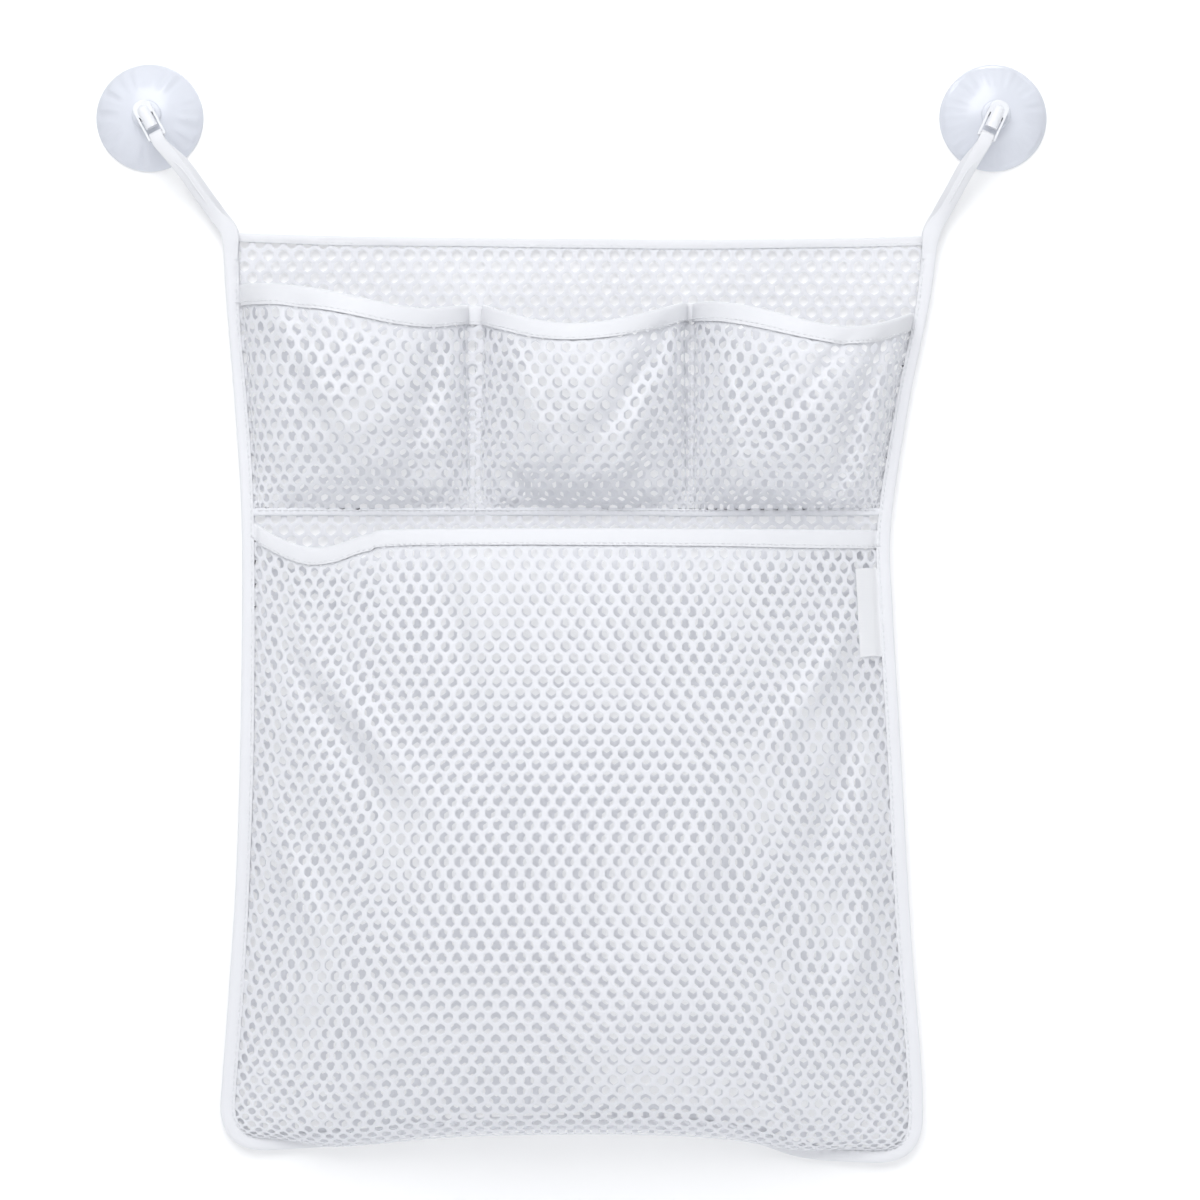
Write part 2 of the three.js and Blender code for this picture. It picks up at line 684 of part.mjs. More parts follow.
// A suction cup, turned about Y: hollow side to the wall, head towards the room
function cupGeometry() {
  const profile = [new Vector2(0, -CUP_HOLLOW_HEIGHT)];
  const hollowRadius = CUP_RADIUS - CUP_RIM_WIDTH;
  [...hollowShares].reverse().forEach(([out, deep]) => {
    profile.push(new Vector2(hollowRadius * out, -CUP_HOLLOW_HEIGHT * deep));
  });
  profile.push(new Vector2(hollowRadius, 0));
  profile.push(new Vector2(CUP_RADIUS, 0));
  profile.push(new Vector2(CUP_RADIUS, -CUP_RIM_HEIGHT));
  domeShares.forEach(([out, high]) => {
    profile.push(new Vector2(CUP_RADIUS * out, mix(-CUP_RIM_HEIGHT, -CUP_DOME_HEIGHT, high)));
  });
  const round = BOSS_HEIGHT / 4;
  profile.push(new Vector2(BOSS_RADIUS, -CUP_DOME_HEIGHT));
  profile.push(new Vector2(BOSS_RADIUS, BOSS_Y + round));
  profile.push(new Vector2(BOSS_RADIUS - round, BOSS_Y));
  profile.push(new Vector2(NECK_RADIUS, BOSS_Y));
  profile.push(new Vector2(NECK_RADIUS, HEAD_BACK_Y));
  for (let i = 0; i <= HEAD_STEPS; i += 1) {
    const angle = (Math.PI / 2) * (i / HEAD_STEPS);
    const out = i === HEAD_STEPS ? 0 : HEAD_RADIUS * Math.cos(angle);
    profile.push(new Vector2(out, HEAD_BACK_Y - HEAD_HEIGHT * Math.sin(angle)));
  }
  return new THREE.LatheGeometry(profile.reverse(), CUP_SEGMENTS);
}

// A box between two corners
function block(from, to) {
  const size = to.clone().sub(from);
  const geometry = new THREE.BoxGeometry(Math.abs(size.x), Math.abs(size.y), Math.abs(size.z));
  const middle = from.clone().add(to).multiplyScalar(0.5);
  geometry.translate(middle.x, middle.y, middle.z);
  return solid(geometry);
}

function roundAboutY(radius, from, to) {
  const geometry = new THREE.CylinderGeometry(radius, radius, Math.abs(to - from), ROUND_SEGMENTS);
  geometry.translate(0, (from + to) / 2, 0);
  return solid(geometry);
}

// The hook's plate: a rounded link, drawn about the neck and pulled to its thickness
function hookPlate() {
  const half = HOOK_WIDTH / 2;
  const shoulder = HOOK_ABOVE_NECK - HOOK_TOP_ROUND;
  const shape = new THREE.Shape();
  shape.moveTo(-half, -HOOK_BELOW_NECK + HOOK_FOOT_ROUND);
  shape.quadraticCurveTo(-half, -HOOK_BELOW_NECK, -half + HOOK_FOOT_ROUND, -HOOK_BELOW_NECK);
  shape.lineTo(half - HOOK_FOOT_ROUND, -HOOK_BELOW_NECK);
  shape.quadraticCurveTo(half, -HOOK_BELOW_NECK, half, -HOOK_BELOW_NECK + HOOK_FOOT_ROUND);
  shape.lineTo(half, shoulder);
  shape.absarc(half - HOOK_TOP_ROUND, shoulder, HOOK_TOP_ROUND, 0, Math.PI / 2);
  shape.lineTo(-half + HOOK_TOP_ROUND, HOOK_ABOVE_NECK);
  shape.absarc(-half + HOOK_TOP_ROUND, shoulder, HOOK_TOP_ROUND, Math.PI / 2, Math.PI);
  const round = HOOK_EDGE_ROUND;
  const geometry = new THREE.ExtrudeGeometry(shape, {
    depth: HOOK_PLATE - 2 * round,
    bevelSize: round,
    bevelOffset: -round,
    bevelThickness: round,
    bevelSegments: PLATE_BEVEL_SEGMENTS,
    curveSegments: PLATE_CURVE_SEGMENTS,
  });
  geometry.rotateX(Math.PI / 2);
  geometry.translate(0, HOOK_FRONT_Y + HOOK_PLATE - round, 0);
  return solid(geometry);
}

// The tongue's rounded front, ending square above the strap's loop
function hookTongue(foot) {
  const half = STRAP_WIDTH / 2 + CLEARANCE - TONGUE_SLIT;
  const length = TONGUE_ABOVE_NECK + foot + half;
  const capsule = new THREE.CapsuleGeometry(half, length - 2 * half, TONGUE_RINGS, ROUND_SEGMENTS);
  const deep = TONGUE_CROWN + HOOK_FRONT_WALL / 2;
  capsule.rotateX(Math.PI / 2);
  capsule.scale(1, deep / half, 1);
  capsule.translate(0, HOOK_FRONT_Y + HOOK_FRONT_WALL / 2, TONGUE_ABOVE_NECK - length / 2);
  const cut = block(
    new Vector3(-half - OVERRUN, HOOK_FRONT_Y - deep - OVERRUN, -foot),
    new Vector3(half + OVERRUN, HOOK_BACK_Y, -foot - half - OVERRUN),
  );
  return solid(capsule).subtract(cut);
}

function hookGeometry() {
  const collarRadius = HOOK_WIDTH / 2;
  const window = STRAP_WIDTH / 2 + CLEARANCE;
  const loopTop = BAR_DROP - BAR_RADIUS - CLEARANCE - TAPE_THICKNESS;
  const foot = loopTop - TONGUE_GAP;
  const front = HOOK_FRONT_Y - TONGUE_CROWN - OVERRUN;
  const back = HOOK_BACK_Y + OVERRUN;
  let body = hookPlate();
  body = body.add(roundAboutY(collarRadius, HOOK_BACK_Y, HOOK_FRONT_Y + HOOK_PLATE / 2));
  const opening = block(
    new Vector3(-window, front, -foot),
    new Vector3(window, back, -HOOK_BELOW_NECK - OVERRUN),
  );
  body = body.subtract(opening);
  for (const side of [-1, 1]) {
    const slit = block(
      new Vector3(side * window, front, -SLIT_BELOW_NECK),
      new Vector3(side * (window - TONGUE_SLIT), HOOK_FRONT_Y + HOOK_PLATE, -foot - OVERRUN),
    );
    body = body.subtract(slit);
  }
  body = body.add(hookTongue(foot));
  const bar = new THREE.CylinderGeometry(BAR_RADIUS, BAR_RADIUS, 2 * window + HOOK_RAIL, ROUND_SEGMENTS / 2);
  bar.rotateZ(Math.PI / 2);
  bar.translate(0, BAR_Y, -BAR_DROP);
  body = body.add(solid(bar));
  const lip = HOOK_BACK_Y - COLLAR_LIP;
  body = body.subtract(roundAboutY(HEAD_RADIUS + CLEARANCE, lip, HEAD_FRONT_Y - CLEARANCE));
  body = body.subtract(roundAboutY(NECK_RADIUS + CLEARANCE, back, lip - OVERRUN));
  return geometryOf(body);
}

// The strap's middle line, from the hook's bar to its sewn end on the bag's top corner
function strapLine(side) {
  const sign = side === 'left' ? -1 : 1;
  const tilt = radians(HOOK_TILT[side]);
  const bar = new Vector3(
    (sign * CUP_SPACING) / 2 - Math.sin(tilt) * BAR_DROP,
    BAR_Y,
    -Math.cos(tilt) * BAR_DROP,
  );
  const away = new Vector3(-Math.sin(tilt), 0, -Math.cos(tilt));
  const along = side === 'left' ? 0 : 1;
  const middleY = (BAG_FRONT_Y + BAG_BACK_Y) / 2;
  const overlap = STRAP_OVERLAP / edgeLength;
  const corner = atDepth(inside(along, EDGE_TAPE_WIDTH / 2), middleY);
  const end = atDepth(inside(Math.abs(along - overlap), EDGE_TAPE_WIDTH / 2), middleY);
  const run = strapRunShares.map(([across, down, back]) => new Vector3(
    mix(bar.x, corner.x, across), mix(bar.y, corner.y, back), mix(bar.z, corner.z, down),
  ));
  const straight = bar.clone().addScaledVector(away, STRAP_STRAIGHT);
  return { bar, away, points: [bar, straight, ...run, corner, end] };
}

// A doubled tape: one layer in front, round the bar, and one layer behind
function strapGeometry(side) {
  const { bar, away, points } = strapLine(side);
  const line = new THREE.CatmullRomCurve3(points, false, 'centripetal');
  const half = TAPE_THICKNESS / 2;
  const loopReach = BAR_RADIUS + CLEARANCE + half;
  const cornerReach = (BAG_BACK_Y - BAG_FRONT_Y) / 2 + CLEARANCE + half;
  const flatReach = STRAP_LAYER_GAP / 2 + half;
  const wall = new Vector3(0, 1, 0);
  const cornerShare = 1 - STRAP_OVERLAP / line.getLength();
  const stations = [];
  for (let i = 0; i <= STRAP_STEPS; i += 1) {
    const share = i / STRAP_STEPS;
    const point = line.getPointAt(share);
    const way = i ? line.getTangentAt(share) : away.clone();
    const across = way.clone().cross(wall).normalize();
    const out = way.clone().cross(across).normalize();
    const nearBar = Math.max(0, 1 - share * strapOpenShare);
    const nearBag = THREE.MathUtils.smoothstep(share, cornerShare * strapSpreadShare, cornerShare);
    const opened = (loopReach - flatReach) * nearBar ** 2 + (cornerReach - flatReach) * nearBag;
    const reach = flatReach + opened;
    stations.push({ point, across, out, reach });
  }
  const layer = (sign) => stations.map(({ point, across, out, reach }) => ({
    point: point.clone().addScaledVector(out, sign * reach),
    across,
    out: out.clone().multiplyScalar(sign),
  }));
  const room = layer(1).reverse();
  const behind = layer(-1);
  const loop = [];
  const first = stations[0];
  for (let i = 1; i < LOOP_STEPS; i += 1) {
    const angle = Math.PI * (i / LOOP_STEPS);
    const out = first.out.clone().multiplyScalar(Math.cos(angle)).addScaledVector(away, -Math.sin(angle));
    loop.push({ point: bar.clone().addScaledVector(out, loopReach), across: first.across, out });
  }
  const path = [...room, ...loop, ...behind];
  const face = (reach) => path.map(({ point, across, out }) => {
    const middle = point.clone().addScaledVector(out, reach);
    return [-1, 1].map((sign) => middle.clone().addScaledVector(across, (sign * STRAP_WIDTH) / 2));
  });
  return sheet(face(half), face(-half));
}

// Materials
function finish(colour, roughness) {
  return new THREE.MeshStandardMaterial({ color: colour, roughness, metalness: 0 });
}

const netFinish = () => finish(0xeceef4, 0.85);
const tapeFinish = () => finish(0xf4f5f9, 0.75);
const labelFinish = () => finish(0xfafafa, 0.5);
const hookFinish = () => finish(0xf1f3f8, 0.35);
const cupFinish = () => finish(0xdfe4ee, 0.18);

const group = new THREE.Group();

function place(parent, name, geometry, material) {
  const mesh = new THREE.Mesh(geometry, material);
  mesh.name = name;
  parent.add(mesh);
  return mesh;
}

const strip = stripGrid();
const pocket = pocketGrid();

place(group, 'back_panel', backPanel(), netFinish());
place(group, 'upper_pocket_strip', netPanel(strip, isStripHole), netFinish());
place(group, 'lower_pocket', netPanel(pocket, isPocketHole), netFinish());
place(group, 'edge_binding', edgeBinding(), tapeFinish());
place(group, 'top_hem', topHem(), tapeFinish());
place(group, 'upper_pocket_binding', mouthBinding(strip), tapeFinish());
place(group, 'lower_pocket_binding', mouthBinding(pocket), tapeFinish());
place(group, 'side_label', sideLabel(), labelFinish());

for (const [side, sign] of [['left', -1], ['right', 1]]) {
  place(group, `${side}_strap`, strapGeometry(side), tapeFinish());
  const fixing = new THREE.Group();
  fixing.position.x = (sign * CUP_SPACING) / 2;
  group.add(fixing);
  place(fixing, `${side}_cup`, cupGeometry(), cupFinish());
  const hook = place(fixing, `${side}_hook`, hookGeometry(), hookFinish());
  hook.rotation.y = radians(HOOK_TILT[side]);
}

export default group;
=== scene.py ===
"""A net bag for bath things, hung on a wall by two suction cups.

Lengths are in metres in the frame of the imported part: X runs to the right, Y into the wall and Z up.
"""

import math

import bpy
import numpy as np
from bpy.props import FloatProperty, FloatVectorProperty, PointerProperty
from bpy.types import Operator, Panel, PropertyGroup
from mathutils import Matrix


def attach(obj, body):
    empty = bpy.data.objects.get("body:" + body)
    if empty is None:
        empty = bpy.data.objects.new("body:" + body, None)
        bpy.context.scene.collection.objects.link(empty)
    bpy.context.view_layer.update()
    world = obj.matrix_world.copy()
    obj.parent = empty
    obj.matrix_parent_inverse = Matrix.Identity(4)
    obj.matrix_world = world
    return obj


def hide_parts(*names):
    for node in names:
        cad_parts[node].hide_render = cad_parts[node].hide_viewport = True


bl_info = {
    "name": "Net Bath Bag",
    "version": (1, 0, 0),
    "blender": (4, 5, 0),
    "location": "View3D > Sidebar > Bath Bag",
    "description": "Nets, tapes, thread, fittings and stage of a bath bag that hangs on a wall",
    "category": "Object",
}

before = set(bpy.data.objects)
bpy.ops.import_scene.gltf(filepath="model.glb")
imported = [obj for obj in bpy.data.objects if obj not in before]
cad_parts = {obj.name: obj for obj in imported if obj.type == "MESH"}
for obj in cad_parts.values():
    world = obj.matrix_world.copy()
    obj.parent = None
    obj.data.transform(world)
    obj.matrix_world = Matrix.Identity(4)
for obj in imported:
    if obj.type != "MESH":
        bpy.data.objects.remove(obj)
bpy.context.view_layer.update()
SEED = 7

# The outline, as shares of the bag's width from its middle and of its height down
BAG_WIDTH = 0.347
BAG_HEIGHT = 0.454
BAG_TOP_Z = -0.057
BAG_SHIFT = 0.0045
TOP_TILT = 0.002
TOP_SAG = 0.0025
TOP_RISE = 0.0009
CORNER_ROUND = 0.024
LEFT_SIDE = (
    (-0.504, 0), (-0.499, 0.07), (-0.487, 0.183), (-0.477, 0.315), (-0.478, 0.502),
    (-0.484, 0.674), (-0.495, 0.811), (-0.507, 0.93),
)
LEFT_CORNER = (-0.509, 0.988)
BOTTOM_SIDE = (
    (-0.437, 0.9865), (-0.31, 0.98), (-0.157, 0.968), (0.045, 0.965), (0.212, 0.973),
    (0.313, 0.9945), (0.41, 1),
)
RIGHT_CORNER = (0.483, 1.001)
RIGHT_SIDE = (
    (0.482, 0.942), (0.48, 0.896), (0.4654, 0.753), (0.451, 0.557), (0.4395, 0.403),
    (0.437, 0.315), (0.4625, 0.183), (0.4925, 0.07), (0.504, 0),
)

# Layers, from the wall towards the room
BAG_BACK_Y = -0.0015
PANEL_Y = -0.0029
POCKET_SEAM_Y = -0.004
BAG_FRONT_Y = -0.0054
SEAM_INSET = 0.0019
POCKET_INSET = 0.0079

# The strip of small pockets
STRIP_BOTTOM_Z = -0.195
STRIP_HEM = 0.004
DIVIDERS = (-0.047, 0.058)
DIVIDER_FLOORS = (0.0085, 0.0045)
STRIP_MOUTHS = (-0.083, -0.093, -0.092, -0.097)
STRIP_SAGS = (0.006, 0.0125, 0.0115)
STRIP_SKEWS = (2.4, 0.9, 1.6)
STRIP_DEPTHS = (0.038, 0.04, 0.046)
STRIP_FULLNESS = (0.85, 0.85, 0.55)
STRIP_MOUTH_SHARE = 0.93
STRIP_PEAK_SHARE = 0.3
STRIP_SIDE_SHARE = 0.58

# The big pocket
POCKET_LEFT_Z = -0.1965
POCKET_RIGHT_Z = -0.203
POCKET_DEPTH = 0.07
POCKET_DIP = 0.01
POCKET_DIPS = ((0, 0), (0.05, 0.65), (0.1, 1), (0.145, 0.8), (0.2, 0.24), (0.3, 0), (1, 0))
POCKET_SLOPE_SHARE = 0.2
POCKET_MOUTH_SHARE = 0.62
POCKET_PEAK_SHARE = 0.71
POCKET_FULLNESS = 0.37
POCKET_SIDE_SHARE = 0.85
POCKET_SAG = 0.006
POCKET_ROUND = 0.85

# Fixings
CUP_X = 0.2065
HOOK_TILTS = {"left": math.radians(-28), "right": math.radians(25)}
BAR_Y = -0.0181
BAR_DROP = 0.0128
BAR_REACH = 0.0015

# Tapes, thread and label
TAPE_STEP = 0.0012
MOUTH_STEP = 0.0013
MOUTH_REACH = 0.0013
HEM_WIDTH = 0.0044
THREAD_RADIUS = 0.00022
THREAD_SIDES = 6
THREAD_LIFT = 0.0001
STITCH_SHARE = 0.72
TO_ROOM = np.array((0.0, -1.0, 0.0))
CORNER_OVERLAP = 0.013
CORNER_INSET = 0.0035
LABEL_TOP_Z = -0.221
LABEL_HEIGHT = 0.043
LABEL_SEAM = 0.0036
LABEL_REACH = 0.0143

LENGTH = {"precision": 4, "unit": "LENGTH"}
COLOUR = {"size": 3, "subtype": "COLOR", "min": 0.0, "max": 1.0}


class BagNetSettings(PropertyGroup):
    """Sizes and colour of the knitted net"""

    hole_pitch: FloatProperty(
        name="Hole pitch", description="Distance between neighbouring holes in one row",
        default=0.0077, min=0.003, max=0.02, **LENGTH,
    )
    row_pitch: FloatProperty(
        name="Row pitch", description="Distance between neighbouring rows of holes",
        default=0.0056, min=0.003, max=0.02, **LENGTH,
    )
    strand_depth: FloatProperty(
        name="Strand depth", description="Thickness of the strands between the holes",
        default=0.0005, min=0.0002, max=0.003, **LENGTH,
    )
    creases: FloatProperty(
        name="Creases", description="How far the folds stand out, as a share of their usual depth",
        default=1.0, min=0.0, max=1.5, subtype="FACTOR",
    )
    colour: FloatVectorProperty(
        name="Net colour", description="Colour of the yarn", default=(0.69, 0.697, 0.727), **COLOUR
    )


class BagTapeSettings(PropertyGroup):
    """Sizes and colour of the binding tapes and their thread"""

    edge_width: FloatProperty(
        name="Edge tape", description="Width of each leg of the tape round the sides and the bottom",
        default=0.007, min=0.004, max=0.0075, **LENGTH,
    )
    mouth_width: FloatProperty(
        name="Mouth tape", description="Width of each leg of the tape on the pocket mouths",
        default=0.0075, min=0.004, max=0.009, **LENGTH,
    )
    strap_width: FloatProperty(
        name="Strap width", description="Width of the doubled tape that loops round each hook",
        default=0.0066, min=0.004, max=0.0068, **LENGTH,
    )
    thickness: FloatProperty(
        name="Thickness", description="Thickness of one layer of tape",
        default=0.0007, min=0.0003, max=0.001, **LENGTH,
    )
    stitch: FloatProperty(
        name="Stitch", description="Distance from one stitch to the next",
        default=0.003, min=0.0015, max=0.006, **LENGTH,
    )
    colour: FloatVectorProperty(
        name="Tape colour", description="Colour of the woven tape", default=(0.7, 0.705, 0.728), **COLOUR
    )


class BagFittingSettings(PropertyGroup):
    """Colours of the moulded fittings and the label"""

    hook_colour: FloatVectorProperty(
        name="Hook colour", description="Colour of the moulded hooks",
        default=(0.72, 0.73, 0.755), **COLOUR,
    )
    cup_colour: FloatVectorProperty(
        name="Cup colour", description="Colour of the milky suction cups",
        default=(0.625, 0.645, 0.7), **COLOUR,
    )
    label_colour: FloatVectorProperty(
        name="Label colour", description="Colour of the satin label",
        default=(0.735, 0.74, 0.755), **COLOUR,
    )


class BagStageSettings(PropertyGroup):
    """Camera, lamps and background"""

    distance: FloatProperty(
        name="Camera distance", description="Distance from the camera to the wall",
        default=1.45, min=0.5, max=5.0, **LENGTH,
    )
    view_width: FloatProperty(
        name="View width", description="Width of the wall that fills the picture",
        default=0.588, min=0.1, max=2.0, **LENGTH,
    )
    key_power: FloatProperty(
        name="Key lamp", description="Power of the large lamp above and in front",
        default=22.3, min=0.0, max=200.0, unit="POWER",
    )
    fill_power: FloatProperty(
        name="Fill lamp", description="Power of the lamp to the right",
        default=1.6, min=0.0, max=200.0, unit="POWER",
    )
    background: FloatVectorProperty(
        name="Background", description="Colour of the wall, floor and surroundings",
        default=(1.0, 1.0, 1.0), **COLOUR,
    )


def mix(a, b, share):
    return a + (b - a) * share


def smooth(low, high, value):
    share = np.clip((value - low) / (high - low), 0, 1)
    return share * share * (3 - 2 * share)


def unit(vectors):
    return vectors / np.maximum(np.linalg.norm(vectors, axis=-1, keepdims=True), 1e-12)


def together(*values):
    """Coordinates side by side, one row for each point."""
    return np.stack(np.broadcast_arrays(*values), axis=1)


def lengths_along(points):
    steps = np.linalg.norm(np.diff(points, axis=0), axis=1)
    return np.concatenate([[0], np.cumsum(steps)])


def at_lengths(points, reach, wanted):
    """Points of a line at the wanted lengths, where reach is how far along each of its own points is."""
    return together(*(np.interp(wanted, reach, column) for column in points.T))


def even_spline(points, steps=40):
    """Points along a smooth curve through the given ones."""
    points = np.asarray(points, float)
    padded = np.vstack([points[:1], points, points[-1:]])
    share = np.linspace(0, 1, steps, endpoint=False)[:, None]
    runs = []
    for before, start, end, after in zip(padded, padded[1:], padded[2:], padded[3:]):
        leave, arrive = (end - before) / 2, (after - start) / 2
        runs.append(
            (2 * start - 2 * end + leave + arrive) * share**3
            + (3 * end - 3 * start - 2 * leave - arrive) * share**2
            + leave * share + start
        )
    return np.vstack([*runs, points[-1:]])


def resampled(points, count):
    """The same curve with evenly spaced points."""
    reach = lengths_along(points)
    return at_lengths(points, reach, np.linspace(0, reach[-1], count))


class BagEdge:
    """The bag's outer edge, followed from the top left corner down, along the bottom and up again."""

    # Points on the edge, the stride that finds the nearest one, and how many places are searched at once
    COUNT = 4000
    COARSE = 4
    BATCH = 2000

    def __init__(self):
        left, bottom, right = (self.placed(side) for side in (LEFT_SIDE, BOTTOM_SIDE, RIGHT_SIDE))
        left_corner, right_corner = self.placed([LEFT_CORNER, RIGHT_CORNER])
        left[-1, 1] = left_corner[1] + CORNER_ROUND
        bottom[0, 0] = left_corner[0] + CORNER_ROUND
        bottom[-1, 0] = right_corner[0] - CORNER_ROUND
        right[0, 1] = right_corner[1] + CORNER_ROUND
        runs = [
            even_spline(left), self.corner(left[-1], left_corner, bottom[0]),
            even_spline(bottom), self.corner(bottom[-1], right_corner, right[0]), even_spline(right),
        ]
        ends = np.cumsum([lengths_along(run)[-1] for run in runs])
        points = np.vstack([runs[0], *[run[1:] for run in runs[1:]]])
        self.length = ends[-1]
        self.points = resampled(points, self.COUNT)
        self.share = np.linspace(0, 1, self.COUNT)
        self.left_turn = (ends[0] + ends[1]) / 2 / self.length
        self.right_turn = (ends[2] + ends[3]) / 2 / self.length
        way = unit(np.gradient(self.points, axis=0))
        self.inward = together(-way[:, 1], way[:, 0])

    @staticmethod
    def placed(shares):
        across, down = np.asarray(shares, float).T
        return together(BAG_SHIFT + across * BAG_WIDTH, BAG_TOP_Z - down * BAG_HEIGHT)

    @staticmethod
    def corner(start, middle, end):
        share = np.linspace(0, 1, 40)[:, None]
        return start * (1 - share) ** 2 + 2 * middle * share * (1 - share) + end * share**2

    def inside(self, along, distance):
        """X and Z of a point a given distance inside the edge."""
        x, z, in_x, in_z = (
            np.interp(along, self.share, values) for values in (*self.points.T, *self.inward.T)
        )
        return x + in_x * distance, z + in_z * distance

    def along_at(self, side, z):
        """How far along the edge a side reaches a height."""
        if side == "left":
            part = self.share <= self.left_turn
            return np.interp(-z, -self.points[part, 1], self.share[part])
        part = self.share >= self.right_turn
        return np.interp(z, self.points[part, 1], self.share[part])

    def sides(self, z, distance):
        """X on the left and on the right at a height, a given distance inside the edge."""
        return [self.inside(self.along_at(side, z), distance)[0] for side in ("left", "right")]

    def depth_of(self, x, z):
        """Distance inside the edge, and the nearest point of the edge, for many points."""
        coarse = self.points[::self.COARSE]
        near = np.empty(len(x), int)
        for start in range(0, len(x), self.BATCH):
            part = slice(start, start + self.BATCH)
            apart = (x[part, None] - coarse[:, 0]) ** 2 + (z[part, None] - coarse[:, 1]) ** 2
            near[part] = apart.argmin(axis=1) * self.COARSE
        offset = together(x, z) - self.points[near]
        return (offset * self.inward[near]).sum(axis=1), near


edge = BagEdge()
LEFT_TOP = edge.points[0]
RIGHT_TOP = edge.points[-1]


def top_z(x):
    share = (x - LEFT_TOP[0]) / (RIGHT_TOP[0] - LEFT_TOP[0])
    return BAG_TOP_Z + TOP_RISE - TOP_TILT * share - TOP_SAG * 4 * share * (1 - share)


def belly(down, mouth, peak, fullness):
    """How a filled pocket stands out below its mouth, as a share of its depth."""
    above = mix(mouth, 1, np.sin(np.pi / 2 * np.clip(down / peak, 0, 1)))
    below = np.cos(np.pi / 2 * np.clip((down - peak) / (1 - peak), 0, 1)) ** fullness
    return np.where(down < peak, above, below)


def crease(across, down, start, end, width, height):
    """A soft fold between two points of a panel, which fades at its ends."""
    run = np.subtract(end, start)
    share = ((across - start[0]) * run[0] + (down - start[1]) * run[1]) / (run @ run)
    near_a = start[0] + np.clip(share, 0, 1) * run[0]
    near_d = start[1] + np.clip(share, 0, 1) * run[1]
    apart = np.hypot(across - near_a, down - near_d)
    fade = np.sin(np.pi * np.clip(mix(0.08, 0.95, np.clip(share, 0, 1)), 0, 1))
    return height * fade * np.exp(-((apart / width) ** 2))


def creased(creases, across, down):
    """The height of all the soft folds of a panel."""
    return sum(crease(across, down, *fold) for fold in creases)


